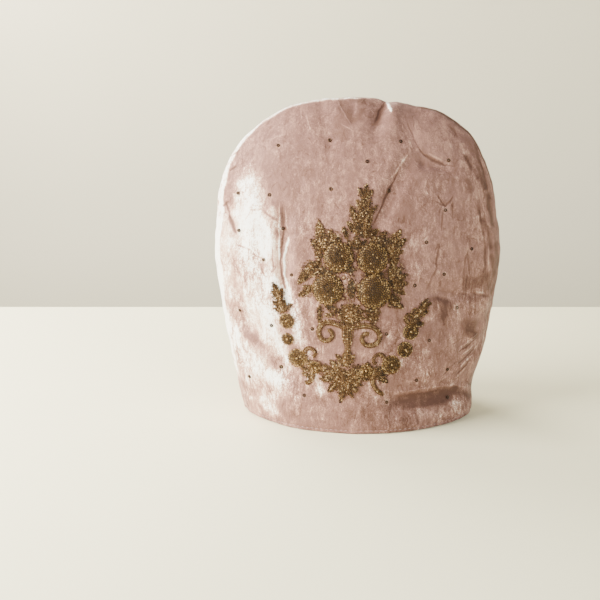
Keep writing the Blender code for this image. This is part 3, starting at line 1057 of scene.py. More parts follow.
@built_once
def crease_line(name):
    """A soft line between two places, thinning to both its ends."""
    group, given, result = new_group(
        name, {"Place": NOWHERE, "From": NOWHERE, "To": NOWHERE, "Half Width": 0.001}, {"Mask": FLOAT}
    )
    place, start, end, width = (given.outputs[label] for label in ("Place", "From", "To", "Half Width"))
    run = vectors(group, "SUBTRACT", end, start)[0]
    away = vectors(group, "SUBTRACT", place, start)[0]
    along, length = (vectors(group, "DOT_PRODUCT", leg, run)["Value"] for leg in (away, run))
    legs = {0: along, 1: length}
    share = placed(group, "ShaderNodeMath", legs, operation="DIVIDE", use_clamp=True).outputs[0]
    reached = placed(group, "ShaderNodeVectorMath", {0: run, "Scale": share}, operation="SCALE").outputs[0]
    nearest = vectors(group, "ADD", start, reached)[0]
    distance = sums(group, "DIVIDE", vectors(group, "DISTANCE", place, nearest)["Value"], width)
    end_share = sums(group, "ABSOLUTE", blended(group, share, 2.0, -1.0), 0.0)
    distance = blended(group, sums(group, "POWER", end_share, 4.0), 1.0, distance)
    mask = mapped(group, distance, (0.0, 1.5), (1.0, 0.0), "SMOOTHSTEP")
    group.links.new(mask, result.inputs["Mask"])
    return group


def sharp_creases(name, lines):
    """All sharp creases of one panel: the painted shade and highlight they add to the pile's tone, and their
    height in millimetres.
    """
    group, given, result = new_group(name, {"Place": NOWHERE}, {"Nap": FLOAT, "Height": FLOAT})
    seen = vectors(group, "MULTIPLY", given.outputs["Place"], (1, 0, 1))[0]
    turned, height = 0.0, 0.0
    for line in lines:
        ends = {label: (x * MM, 0.0, z * MM) for label, (x, z) in (("From", line.start), ("To", line.end))}
        width = line.half_width * MM
        mask = placed_group(group, crease_line(), {"Place": seen, "Half Width": width, **ends})[0]
        turned = blended(group, mask, line.nap, turned)
        height = blended(group, mask, line.height, height)
    group.links.new(turned, result.inputs["Nap"])
    group.links.new(height, result.inputs["Height"])
    return group


@built_once
def crushed_pile(name):
    """The pile's tone and height: wandering patches, upright streaks, glints and a fine grain."""
    amounts = {"Patches": 0.5, "Mottle": 0.4, "Streaks": 0.3, "Glints": 0.2, "Grain": 0.1}
    group, given, result = new_group(
        name, {"Nap": 0.5, "Place": NOWHERE, **amounts}, {"Tone": FLOAT, "Height": FLOAT}
    )
    lie_and_light, place = given.outputs["Nap"], given.outputs["Place"]
    upright, streaked, slanting = (
        placed(
            group, "ShaderNodeMapping",
            {"Vector": place, "Rotation": (0.0, math.radians(turn), 0.0), "Scale": (1.0, 1.0, stretch)},
        ).outputs[0]
        for turn, stretch in PILE_LEANS
    )
    patches = pattern(group, upright, PATCH_SCALE, 2.0, 0.8)
    mottle = pattern(group, upright, MOTTLE_SCALE, 4.0, 0.85)
    streaks = pattern(group, streaked, STREAK_SCALE, 3.0, 0.8)
    grain = pattern(group, place, GRAIN_SCALE, 1.0, 0.6)
    # A glint, or a dark wrinkle of painted shade with a small bump, runs where a broad pattern changes side,
    # and only here and there
    glints = 0.0
    for where, scale, share in ((streaked, 110.0, 0.5), (slanting, 75.0, -1.0), (streaked, 150.0, -0.8)):
        side = sums(group, "ABSOLUTE", pattern(group, where, scale, 1.0, 0.5), 0.0)
        thread = mapped(group, side, (0.0, 0.022), (1.0, 0.0), "SMOOTHSTEP")
        shown_at = mapped(group, pattern(group, place, scale), (0.02, 0.12), (0.0, 1.0))
        glints = blended(group, sums(group, "MULTIPLY", thread, shown_at), share, glints)
    # The paler the tone, from crushed pile and painted highlight alike, the rougher its patches
    turned = sums(group, "MAXIMUM", sums(group, "SUBTRACT", lie_and_light, MIDDLE_NAP), 0.0)
    gain = blended(group, turned, 1.0, 1.0)
    swing = 0.0
    for part, label in ((mottle, "Mottle"), (streaks, "Streaks"), (grain, "Grain")):
        swing = blended(group, part, given.outputs[label], swing)
    busy = mapped(group, pattern(group, place, BUSY_SCALE), (-0.12, 0.12), (0.55, 1.35))
    # The pile is calm under the crown, and most crushed low down
    rise = placed(group, "ShaderNodeSeparateXYZ", {"Vector": place}).outputs["Z"]
    busy = sums(group, "MULTIPLY", busy, mapped(group, rise, (0.08, 0.30), (1.20, 0.70)))
    swing = blended(group, patches, given.outputs["Patches"], sums(group, "MULTIPLY", swing, busy))
    tone = blended(group, swing, gain, lie_and_light)
    tone = blended(group, glints, given.outputs["Glints"], tone)
    height = blended(group, glints, 0.15, blended(group, mottle, 0.5, blended(group, streaks, 0.3, 0.0)))
    height = blended(group, grain, 0.15, height)
    group.links.new(tone, result.inputs["Tone"])
    group.links.new(height, result.inputs["Height"])
    return group


def new_finish(name):
    """A new material, its tree and its shader."""
    finish = bpy.data.materials.new(name)
    finish.use_nodes = True
    return finish, finish.node_tree, finish.node_tree.nodes["Principled BSDF"]


def dress(tree, shader, colour, bump=None, **constants):
    """Gives the shader its colour, its bump of a height, strength and depth, and its even values."""
    tree.links.new(colour, shader.inputs["Base Color"])
    if bump:
        height, strength, depth = bump
        node = placed(tree, "ShaderNodeBump", {"Height": height, "Strength": strength, "Distance": depth})
        tree.links.new(node.outputs[0], shader.inputs["Normal"])
    for name, value in constants.items():
        shader.inputs[name.replace("_", " ")].default_value = value


def velvet_finish(name, colours, lines, patches, mottle):
    """Crushed velvet, coloured by how its pile lies and by painted light and shade."""
    finish, tree, shader = new_finish(name)
    far, near = (
        placed_group(tree, strayed_place(), {"Reach": reach, "Scale": scale})[0]
        for reach, scale in ((0.010, 42.0), (0.0035, 90.0))
    )
    creases = placed_group(tree, sharp_creases(name + "_creases", lines), {"Place": near})
    lie_and_light = placed(tree, "ShaderNodeAttribute", attribute_name="nap").outputs["Fac"]
    amounts = {"Patches": patches, "Mottle": mottle, "Streaks": 0.50, "Glints": 0.24, "Grain": 0.55}
    pile = placed_group(tree, crushed_pile(), {"Nap": lie_and_light, "Place": far, **amounts})
    tone = sums(tree, "ADD", pile["Tone"], creases["Nap"])
    # Dark stops paint the shade in troughs, and pale stops the highlight, as well as the pile's own crushed
    # tones
    colour = ramp(
        tree, tone,
        (
            (0.0, colours.shadow), (0.24, colours.rose), (0.46, colours.blush), (0.66, colours.bright),
            (0.84, colours.pale), (1.0, colours.white),
        ),
    )
    height = sums(tree, "ADD", pile["Height"], creases["Height"])
    tree.links.new(mapped(tree, tone, (0.3, 0.9), (0.74, 0.42)), shader.inputs["Roughness"])
    dress(
        tree, shader, colour, (height, 0.8, MM), Specular_IOR_Level=0.25, Sheen_Weight=colours.sheen,
        Sheen_Roughness=0.35, Sheen_Tint=(1.0, 0.86, 0.82, 1.0),
    )
    return finish


def backing_finish(colours):
    """Plain woven cotton."""
    finish, tree, shader = new_finish("cotton_backing")
    place = object_place(tree)
    threads = [
        placed(
            tree, "ShaderNodeTexWave", {"Vector": place, "Scale": 260.0, "Distortion": 0.6},
            bands_direction=direction,
        ).outputs["Fac"]
        for direction in ("X", "Z")
    ]
    weave = sums(tree, "MULTIPLY", *threads)
    colour = placed(tree, "ShaderNodeMix", {"Factor": 1.0}, data_type="RGBA", blend_type="MULTIPLY")
    colour.inputs["A"].default_value = colours.backing
    tree.links.new(mapped(tree, weave, (0.0, 1.0), (0.82, 1.05)), colour.inputs["B"])
    dress(tree, shader, colour.outputs["Result"], (weave, 0.4, 0.3 * MM), Roughness=0.9)
    return finish


def bead_finish(name, dark, middle, bright, metallic, roughness):
    """Gold and bronze glass beads, each in its own shade."""
    finish, tree, shader = new_finish(name)
    shade = placed(tree, "ShaderNodeAttribute", attribute_name="shade").outputs["Fac"]
    cloud = noise_at(tree, object_place(tree), 420.0)
    mixed = blended(tree, sums(tree, "SUBTRACT", cloud, 0.5), 0.35, shade)
    rough = mapped(tree, cloud, (0.0, 1.0), (roughness - 0.08, roughness + 0.12))
    tree.links.new(rough, shader.inputs["Roughness"])
    dress(tree, shader, ramp(tree, mixed, ((0.0, dark), (0.5, middle), (1.0, bright))), Metallic=metallic)
    return finish


def thread_finish(name, colour):
    """Plain sewing thread, with a faint twist."""
    finish, tree, shader = new_finish(name)
    twist = noise_at(tree, object_place(tree), 1800.0)
    dark = [channel * 0.6 for channel in colour[:3]] + [1.0]
    shades = ramp(tree, twist, ((0.3, dark), (0.7, colour)))
    dress(tree, shader, shades, (twist, 0.5, 0.2 * MM), Roughness=0.75)
    return finish


# Beads


class Bead(NamedTuple):
    """One bead: its shape, place and turn on the panel, lift, size among its like, and shade."""

    shape: str
    x: float
    z: float
    turn: float
    lift: float
    size: float
    shade: float


def tube_template(length, steps, hole=0.22):
    """A short tube of girth 1 along X, with a hole and rounded ends."""
    form = bmesh.new()
    section = ((-0.5, hole), (-0.34, 0.5), (0.34, 0.5), (0.5, hole))
    verts = [form.verts.new((x * length, 0.0, radius)) for x, radius in section]
    edges = [form.edges.new(pair) for pair in zip(verts, verts[1:] + verts[:1])]
    bmesh.ops.spin(
        form, geom=verts + edges, cent=(0, 0, 0), axis=(1, 0, 0), angle=math.tau, steps=steps, use_merge=True
    )
    bmesh.ops.remove_doubles(form, verts=form.verts, dist=1e-5)
    bmesh.ops.recalc_face_normals(form, faces=form.faces)
    return form


def ring_template():
    """A ring bead of girth 1 that lies on its side."""
    form = tube_template(0.45, 12, 0.28)
    bmesh.ops.rotate(form, cent=(0, 0, 0), matrix=Matrix.Rotation(math.pi / 2, 3, "Y"), verts=form.verts)
    return form


def ball_template():
    """A small faceted ball of girth 1."""
    form = bmesh.new()
    bmesh.ops.create_uvsphere(form, u_segments=8, v_segments=5, radius=0.5)
    return form


def bead_templates(settings):
    """The points and faces of the three shapes that all beads are copies of, at their own sizes."""
    templates = {}
    for shape, form, size in (
        ("seed", tube_template(0.92, 6), settings.seed),
        ("ring", ring_template(), settings.ring),
        ("ball", ball_template(), settings.ball),
    ):
        form.verts.index_update()
        points = size * np.array([vert.co for vert in form.verts])
        templates[shape] = points, [tuple(vert.index for vert in face.verts) for face in form.faces]
        form.free()
    return templates


def surface_of(context, name):
    """The piece's surface, for finding places on it."""
    return BVHTree.FromObject(context.scene.objects[name], context.evaluated_depsgraph_get())


def on_panel(cloth_tree, x, z):
    """The place and normal on the front panel at a chart position in millimetres."""
    start = Vector((x * MM, -1.0, z * MM))
    place, normal, _, _ = cloth_tree.ray_cast(start, Vector((0, 1, 0)))
    if place is None:
        raise ValueError(f"no cloth at {x}, {z}")
    return place, normal


def sewn(context, name, beads, cloth_tree, templates, finish):
    """One piece of many beads, each set on the cloth at its place, joined into one mesh."""
    points, faces, shades = [], [], []
    count = 0
    for bead in beads:
        place, normal = on_panel(cloth_tree, bead.x, bead.z)
        turn = math.radians(bead.turn)
        along = Vector((math.cos(turn), 0.0, math.sin(turn)))
        along = (along - along.dot(normal) * normal).normalized()
        across = normal.cross(along)
        shape, shape_faces = templates[bead.shape]
        half_height = shape[:, 2].max() * bead.size
        axes = np.array((along, across, normal)) * bead.size
        points.append(shape @ axes + np.array(place + normal * (bead.lift * MM + half_height)))
        faces.extend(tuple(index + count for index in face) for face in shape_faces)
        shades.extend([bead.shade] * len(shape))
        count += len(shape)
    mesh = bpy.data.meshes.new(name)
    mesh.from_pydata(np.concatenate(points).tolist(), [], faces)
    mesh.attributes.new("shade", "FLOAT", "POINT").data.foreach_set("value", shades)
    return linked(context, name, mesh, [finish])


def shade_near(rng, middle, spread=0.17, sparkle=0.05):
    """A bead's shade near a middle one, unless it is one of the share that sparkles."""
    if rng.random() < sparkle:
        return float(rng.uniform(0.75, 1.0))
    return float(np.clip(rng.normal(middle, spread), 0.0, 1.0))


def about(x, z, reach, angle):
    """The chart position at a reach and an angle from a middle."""
    return x + reach * math.cos(angle), z + reach * math.sin(angle)


def on_pad(flower, reach):
    """How high the flower's padding stands at a reach from its middle."""
    return flower.dome * math.sqrt(max(0.0, 1 - (reach / (PAD_SHARE * flower.radius)) ** 2))


def rose_beads(rose, seed, rng):
    """Seeds in a close spiral over a dome, dark in the middle, inside a scalloped rim with a few balls."""
    beads = []

    def add(shape, reach, angle, turn, lift, size, shade):
        place = about(rose.x, rose.z, reach, angle)
        beads.append(Bead(shape, *place, turn, on_pad(rose, reach) + lift, size, shade))

    spread = 0.55 * ROSE_PITCH * seed
    first = rng.uniform(0, math.tau)
    inner = rose.radius - ROSE_RIM * seed
    for count in range(round((inner / spread) ** 2)):
        reach = spread * math.sqrt(count + 0.5)
        angle = first + count * math.pi * (3 - math.sqrt(5))
        petals = math.cos(3 * angle + 0.8 * reach)
        shade = shade_near(
            rng, 0.22 + 0.44 * min(1.0, 1.25 * reach / rose.radius) ** 2 + 0.08 * petals, 0.12, sparkle=0.04
        )
        add("seed", reach, angle, math.degrees(angle) + 90 + rng.uniform(-25, 25), 0.4 + 0.3 * petals,
            rng.uniform(1.00, 1.15), shade)
    lobes = round(math.tau * rose.radius / SCALLOP)
    # The two rows of the scalloped rim; the outer row is painted darker, as shade round the rose's edge
    for row, reach in enumerate((rose.radius - 1.3 * seed, rose.radius - 0.3 * seed)):
        for step in range(lobes * 3):
            angle = first + math.tau * step / (lobes * 3)
            rise = 0.5 - (step % 3 == 0)
            shade = shade_near(rng, 0.54 + 0.16 * rise - 0.36 * row, 0.12, sparkle=0.03)
            size = rng.uniform(0.85, 0.95)
            add("seed", reach + 0.45 * rise * seed, angle, math.degrees(angle), 0.1, size, shade)
    for step in range(RIM_BALLS):
        angle = first + math.tau * (step + rng.uniform(-0.3, 0.3)) / RIM_BALLS
        add("ball", rose.radius * rng.uniform(0.80, 1.0), angle, 0.0, 0.6, rng.uniform(0.7, 0.9),
            float(rng.uniform(0.5, 0.8)))
    return beads


def clear_of(roses, beads):
    """The beads that lie outside every rose."""
    return [
        bead for bead in beads
        if all(math.hypot(bead.x - rose.x, bead.z - rose.z) > rose.radius + ROSE_MARGIN for rose in roses)
    ]


def rosette_beads(rosette, seed, rng):
    """Rings of seeds round one bright ball, dark inside, with a scalloped rim."""
    beads = [Bead("ball", rosette.x, rosette.z, 0.0, rosette.dome + 0.1, 0.85, 0.90)]
    for ring in np.arange(1.25 * seed, rosette.radius, STRAND_PITCH * seed):
        count = round(math.tau * ring / (SEED_PITCH * seed))
        share = ring / rosette.radius
        rim = share > 0.72
        for step in range(count):
            angle = math.tau * (step + rng.uniform(-0.12, 0.12)) / count
            reach = ring + 0.5 * rim * (step % 2)
            beads.append(Bead(
                "seed", *about(rosette.x, rosette.z, reach, angle), math.degrees(angle) + 90 * (not rim),
                on_pad(rosette, ring) + 0.1, rng.uniform(0.92, 1.05),
                shade_near(rng, 0.18 + 0.46 * share, 0.18),
            ))
    return beads


def eased(places, spacing=0.5):
    """A smooth path through places in the chart, in even steps."""
    ends = [places[0]] + list(places) + [places[-1]]
    path = []
    for before, start, end, after in zip(ends, ends[1:], ends[2:], ends[3:]):
        before, start, end, after = (np.array(place, float) for place in (before, start, end, after))
        count = max(2, round(np.linalg.norm(end - start) / spacing))
        for share in np.arange(count) / count:
            path.append(0.5 * (
                2 * start + (end - before) * share + (2 * before - 5 * start + 4 * end - after) * share**2
                + (3 * start - before - 3 * end + after) * share**3
            ))
    path.append(np.array(places[-1], float))
    return np.array(path)


def strand_beads(path, seed, rng, middle_shade, lift=0.0, size=1.0, spread=0.12, stray=0.0):
    """Seeds strung along a path in the chart, each of which may stray a share of its width."""
    steps = np.linalg.norm(np.diff(path, axis=0), axis=1)
    run = np.concatenate(([0.0], np.cumsum(steps)))
    beads = []
    pitch = SEED_PITCH * seed * size
    for at in np.arange(0.5 * pitch, run[-1], pitch):
        x, z = np.interp(at, run, path[:, 0]), np.interp(at, run, path[:, 1])
        nearest = min(int(np.searchsorted(run, at)), len(steps)) - 1
        ahead = path[nearest + 1] - path[nearest]
        turn = math.degrees(math.atan2(ahead[1], ahead[0])) + rng.uniform(-12, 12)
        stray_x, stray_z = rng.uniform(-stray, stray, 2) * seed
        beads.append(Bead(
            "seed", x + stray_x, z + stray_z, turn, lift, size * rng.uniform(1 - 0.6 * stray, 1.06),
            shade_near(rng, middle_shade, spread),
        ))
    return beads


def leaf_beads(leaf, seed, rng):
    """Nested outlines that meet at a sharp tip, light and dark by turns, with short spikes past the rim."""
    turn = math.radians(leaf.turn)
    ahead = np.array((math.cos(turn), math.sin(turn)))
    beside = np.array((-ahead[1], ahead[0]))
    foot = np.array((leaf.x, leaf.z))
    pitch = STRAND_PITCH * seed

    def outline(hand, reach, start, end, shares):
        along = start + (end - start) * shares
        out = hand * reach * np.sin(math.pi * shares**0.8) ** 0.8
        return foot + ahead * along[:, None] + beside * out[:, None]

    beads = []
    shares = np.linspace(0.0, 1.0, 16)
    leaf_shade = rng.uniform(0.40, 0.60)
    reach, level = (leaf.width - seed) / 2, 0
    while reach > -0.4 * pitch and leaf.length > 2.4 * level * pitch:
        middle = reach < 0.4 * pitch
        # The outermost outline is painted darker, as shade in the gaps between leaves
        shade = leaf_shade - 0.20 * (level == 0) - 0.10 * (level % 2)
        for hand in (0,) if middle else (-1, 1):
            start, end = LEVEL_FOOT * level * pitch, leaf.length - LEVEL_TIP * level * pitch
            path = outline(hand, reach, start, end, shares)
            beads += strand_beads(path, seed, rng, shade, lift=0.1 + 0.3 * level, spread=0.20, stray=0.22)
        reach -= pitch
        level += 1
    for at in np.arange(0.20, 0.98, SPIKE_PITCH / leaf.length):
        for hand in (-1, 1):
            share = np.array([at + rng.uniform(-0.08, 0.08)]).clip(0.0, 1.0)
            place = outline(hand, leaf.width / 2 + rng.uniform(0.2, 1.1) * seed, 0.0, leaf.length, share)[0]
            beads.append(Bead(
                "seed", place[0], place[1], leaf.turn + hand * 40, 0.0, rng.uniform(0.75, 0.95),
                shade_near(rng, 0.32, 0.20),
            ))
    return beads


def band_beads(path, strands, seed, rng, waist=1.0):
    """Strands of seeds side by side along a path, drawn together towards its end by the waist."""
    ahead = np.gradient(path, axis=0)
    ahead /= np.linalg.norm(ahead, axis=1, keepdims=True)
    beside = np.column_stack((-ahead[:, 1], ahead[:, 0]))
    closeness = np.linspace(1.0, waist, len(path))[:, None]
    beads = []
    for strand in range(strands):
        offset = (strand - (strands - 1) / 2) * STRAND_PITCH * seed
        # The raised middle strands are painted paler and the edge strands darker, as light and shade across
        # the rounded band
        shade, lift = (0.52, BAND_RISE) if abs(offset) < seed else (0.26, 0.1)
        beads += strand_beads(path + beside * offset * closeness, seed, rng, shade, lift)
    return beads


def cord_pads(path):
    """Short pads in a row along a path, that lift the middle strand of a band."""
    return [
        (*place, math.degrees(math.atan2(*(after - place)[::-1])), 4.5, 2.2, 2 * BAND_RISE)
        for place, after in zip(path[::4], path[1::4])
    ]


def stem_beads(seed, rng):
    """Strands that run together to the stem's waist and part again below it."""
    beads = []
    for strand in range(STEM_STRANDS):
        offset = strand - (STEM_STRANDS - 1) / 2
        path = eased([(STEM_MIDDLE + offset * space, z) for z, space in STEM])
        beads += strand_beads(path, seed, rng, 0.50 if strand % 2 else 0.32, lift=0.9 - 0.2 * abs(offset))
    return beads


def roundel_beads(x, z, seed, rng):
    """A pale ball inside a ring of darker seeds."""
    beads = [Bead("ball", x, z, 0.0, 0.5, rng.uniform(0.8, 1.0), float(rng.uniform(0.6, 1.0)))]
    first = rng.uniform(0, math.tau)
    for step in range(SEEDS_ROUND_BALL):
        angle = first + math.tau * step / SEEDS_ROUND_BALL
        beads.append(Bead(
            "seed", *about(x, z, 1.25 * seed, angle), math.degrees(angle) + 90, 0.1, rng.uniform(0.8, 0.9),
            shade_near(rng, 0.25),
        ))
    return beads


def gap_beads(patches, seed, rng, taken):
    """Single seeds and small balls wherever a patch of the chart is still bare."""
    places = np.array([(bead.x, bead.z) for bead in taken])
    beads = []
    for x, z, reach_x, reach_z in patches:
        for _ in range(round(GAP_TRIES * reach_x * reach_z)):
            angle, share = rng.uniform(0, math.tau), math.sqrt(rng.random())
            place = np.array((x + reach_x * share * math.cos(angle), z + reach_z * share * math.sin(angle)))
            if np.linalg.norm(places - place, axis=1).min() > 1.05 * seed:
                places = np.vstack((places, place))
                ball = rng.random() < GAP_BALLS
                # Gap seeds are darker than the leaves, as painted shade in the gaps between them
                shape, sizes, shade = ("ball", (0.6, 0.75), 0.60) if ball else ("seed", (0.95, 1.1), 0.38)
                beads.append(Bead(
                    shape, *place, rng.uniform(0, 180), 0.0, rng.uniform(*sizes), shade_near(rng, shade)
                ))
    return beads


def pad_places(roses, rosettes, leaves):
    """The thread padding under the beads: place, turn, length, width and height of each pad."""
    pads = []
    for flower in (*roses, *rosettes):
        width = 2 * PAD_SHARE * flower.radius
        pads.append((flower.x, flower.z, 0.0, width, width, 2 * flower.dome))
    for leaf in leaves:
        middle = about(leaf.x, leaf.z, leaf.length / 2, math.radians(leaf.turn))
        pads.append((*middle, leaf.turn, 0.85 * leaf.length, 0.75 * leaf.width, 0.8))
    return pads


def gap_pads(gaps):
    """Low pads under the beads that fill the gaps."""
    return [(x, z, 90.0, GAP_PAD * reach_z, GAP_PAD * reach_x, 0.5) for x, z, reach_x, reach_z in gaps]


def sewn_pads(context, name, pads, cloth_tree, finish):
    """Low domes of thread that follow the cloth under the beads, joined into one mesh."""
    form = bmesh.new()
    for x, z, turn, length, width, height in pads:
        made = bmesh.ops.create_uvsphere(form, u_segments=16, v_segments=8, radius=0.5)
        angle = math.radians(turn)
        for vert in made["verts"]:
            along, deep, across = vert.co.copy()
            seen = about(*about(x, z, along * length, angle), across * width, angle + math.pi / 2)
            place, normal = on_panel(cloth_tree, *seen)
            vert.co = place - normal * deep * height * MM
    return shown(context, name, form, [finish])


def hem_places(trees, pitch):
    """Places, normals and directions at equal steps round the hem, at the height of its stitches."""
    hits = []
    for angle in np.linspace(0.0, math.tau, HEM_RAYS, endpoint=False):
        outward = Vector((math.cos(angle), math.sin(angle), 0.0))
        start = outward * 0.4 + Vector((0.0, 0.0, STITCH_HEIGHT))
        found = [tree.ray_cast(start, -outward) for tree in trees]
        found = [hit for hit in found if hit[0] is not None]
        if found:
            hits.append(min(found, key=lambda hit: hit[3])[:2])
    run, last, places = 0.0, hits[0][0], []
    for (place, normal), (after, _) in zip(hits, hits[1:]):
        run += (place - last).length
        last = place
        if run >= pitch:
            run -= pitch
            places.append((place, normal, (after - place).normalized()))
    return places


# Operators


class TEACOSY_OT_panels(bpy.types.Operator):
    """Make the front and back panels of crushed velvet"""

    bl_idname = "tea_cosy.panels"
    bl_label = "Velvet Panels"

    def execute(self, context):
        settings = context.scene.tea_cosy
        # The edges of the marks of crushed pile and painted light wander the same way on every run
        noise.seed_set(SEED)
        dimples = tuple(
            Mark(FRONT, ((x, z), (x, z + 0.1)), DIMPLE_HALF_WIDTH, -DIMPLE_DEPTH, 0.14) for x, z in STREWN
        )
        backing = backing_finish(settings.velvet)
        front_marks = FOLDS + CREASES + dimples
        for side, name, node, marks, naps, lines, patches, mottle in (
            (FRONT, FRONT_PIECE, "front_panel", front_marks, NAP_AND_LIGHT_FRONT, LINES_FRONT, 0.25, 1.05),
            (BACK, BACK_PIECE, "back_panel", FOLDS, NAP_AND_LIGHT_BACK, LINES_BACK, 0.20, 0.75),
        ):
            finish = velvet_finish("pile_of_" + node, settings.velvet, lines, patches, mottle)
            form = panel_form(settings.cloth, side, marks, naps)
            piece = shown(context, name, form, [finish, backing])
            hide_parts(node)
            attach(piece, "root")
        return {"FINISHED"}


class TEACOSY_OT_hem_stitches(bpy.types.Operator):
    """Sew the hem with one row of stitches"""

    bl_idname = "tea_cosy.hem_stitches"
    bl_label = "Hem Stitches"

    def execute(self, context):
        trees = [surface_of(context, name) for name in (FRONT_PIECE, BACK_PIECE)]
        form = bmesh.new()
        for place, normal, ahead in hem_places(trees, STITCH_PITCH):
            made = bmesh.ops.create_uvsphere(form, u_segments=6, v_segments=5, radius=0.5)
            across = normal.cross(ahead)
            for vert in made["verts"]:
                x, y, z = vert.co
                vert.co = place + ahead * x * STITCH_LENGTH + (across * y + normal * z) * STITCH_GIRTH
        finish = thread_finish("hem_thread", HEM_THREAD)
        piece = shown(context, "hem_stitches", form, [finish])
        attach(piece, "root")
        return {"FINISHED"}


class TEACOSY_OT_bouquet(bpy.types.Operator):
    """Bead the bouquet: four roses, their leaves and the two scrolls"""

    bl_idname = "tea_cosy.bouquet"
    bl_label = "Beaded Bouquet"

    def execute(self, context):
        settings = context.scene.tea_cosy.beads
        rng = np.random.default_rng(SEED)
        tree = surface_of(context, FRONT_PIECE)
        finish = bead_finish("gold_beads", settings.bronze, settings.gold, settings.pale_gold, 0.85, 0.30)
        leaf_finish = bead_finish(
            "straw_beads", settings.bronze, settings.straw, settings.pale_straw, 0.80, 0.32
        )
        # The padding under the beads is dark, as painted shade between them
        thread = thread_finish("bronze_thread_and_gap_shade", BEAD_THREAD_AND_GAP_SHADE)
        seed = settings.seed / MM
        roses = [bead for rose in ROSES for bead in rose_beads(rose, seed, rng)]
        upper, lower = (
            clear_of(ROSES, [
                bead for leaf in BOUQUET_LEAVES if (leaf.z > UPPER_LEAVES) == high
                for bead in leaf_beads(leaf, seed, rng)
            ])
            for high in (True, False)
        )
        scrolls = [bead for scroll in SCROLLS for bead in band_beads(eased(scroll), 4, seed, rng, 0.62)]
        scrolls += stem_beads(seed, rng)
        loose = [bead for place in ROUNDELS for bead in roundel_beads(*place, seed, rng)]
        loose += gap_beads(BOUQUET_GAPS, seed, rng, roses + upper + lower + scrolls + loose)
        templates = bead_templates(settings)
        pads = pad_places(ROSES, (), BOUQUET_LEAVES)
        pads += [pad for scroll in SCROLLS for pad in cord_pads(eased(scroll))]
        pads += [(STEM_MIDDLE, 104, 90.0, 20, 9, 1.6), (STEM_MIDDLE, 82, 90.0, 12, 6, 1.4)]
        pads += gap_pads(BOUQUET_GAPS)
        for piece in (
            sewn(context, "bouquet_roses", roses, tree, templates, finish),
            sewn(context, "bouquet_upper_leaves", upper, tree, templates, leaf_finish),
            sewn(context, "bouquet_lower_leaves", lower, tree, templates, leaf_finish),
            sewn(context, "bouquet_scrolls", scrolls, tree, templates, leaf_finish),
            sewn(context, "bouquet_loose_beads", loose, tree, templates, leaf_finish),
            sewn_pads(context, "bouquet_padding", pads, tree, thread),
        ):
            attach(piece, "root")
        return {"FINISHED"}


class TEACOSY_OT_garland(bpy.types.Operator):
    """Bead the garland: small flowers, leaves, hooks and curls"""

    bl_idname = "tea_cosy.garland"
    bl_label = "Beaded Garland"

    def execute(self, context):
        settings = context.scene.tea_cosy.beads
        rng = np.random.default_rng(SEED + 1)
        tree = surface_of(context, FRONT_PIECE)
        finishes = bpy.data.materials
        gold, straw, thread = finishes["gold_beads"], finishes["straw_beads"], finishes["bronze_thread_and_gap_shade"]
        seed = settings.seed / MM
        flowers = [bead for flower in ROSETTES for bead in rosette_beads(flower, seed, rng)]
        beads = [bead for leaf in GARLAND_LEAVES for bead in leaf_beads(leaf, seed, rng)]
        beads += [bead for curl in CURLS for bead in band_beads(eased(curl), 3, seed, rng, 0.6)]
        beads += [bead for hook in HOOKS for bead in band_beads(eased(hook), 4, seed, rng, 0.6)]
        beads += gap_beads(GARLAND_GAPS, seed, rng, flowers + beads)
        templates = bead_templates(settings)
        pads = pad_places((), ROSETTES, GARLAND_LEAVES)
        pads += [pad for hook in HOOKS for pad in cord_pads(eased(hook))]
        pads += gap_pads(GARLAND_GAPS)
        for piece in (
            sewn(context, "garland_flowers", flowers, tree, templates, gold),
            sewn(context, "garland_beads", beads, tree, templates, straw),
            sewn_pads(context, "garland_padding", pads, tree, thread),
        ):
            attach(piece, "root")
        return {"FINISHED"}


class TEACOSY_OT_strewn_rings(bpy.types.Operator):
    """Strew single dark ring beads over the front panel"""

    bl_idname = "tea_cosy.strewn_rings"
    bl_label = "Strewn Rings"

    def execute(self, context):
        settings = context.scene.tea_cosy.beads
        rng = np.random.default_rng(SEED + 2)
        rings = [
            Bead("ring", x, z, rng.uniform(0, 180), -0.4, rng.uniform(1.0, 1.12), rng.uniform(0.0, 0.08))
            for x, z in STREWN
        ]
        piece = sewn(
            context, "strewn_rings", rings, surface_of(context, FRONT_PIECE), bead_templates(settings),
            bead_finish("bronze_rings", settings.bronze, settings.gold, settings.pale_gold, 0.6, 0.36),
        )
        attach(piece, "root")
        return {"FINISHED"}


def stage_finish(name, colour):
    """A plain, nearly even paint."""
    finish, tree, shader = new_finish(name)
    cloud = noise_at(tree, object_place(tree), 3.0)
    light = [min(channel * 1.03, 1.0) for channel in colour[:3]] + [1.0]
    shades = ramp(tree, cloud, ((0.3, colour), (0.7, light)))
    dress(tree, shader, shades, Roughness=0.7, Specular_IOR_Level=0.2)
    return finish


def add_light(context, name, place, target, size, power, colour):
    """A square area light that looks at its target."""
    lamp = bpy.data.lights.new(name, "AREA")
    lamp.size, lamp.energy, lamp.color = size, power, colour
    light = bpy.data.objects.new(name, lamp)
    light.location = place
    light.rotation_euler = (Vector(target) - Vector(place)).to_track_quat("-Z", "Y").to_euler()
    context.scene.collection.objects.link(light)


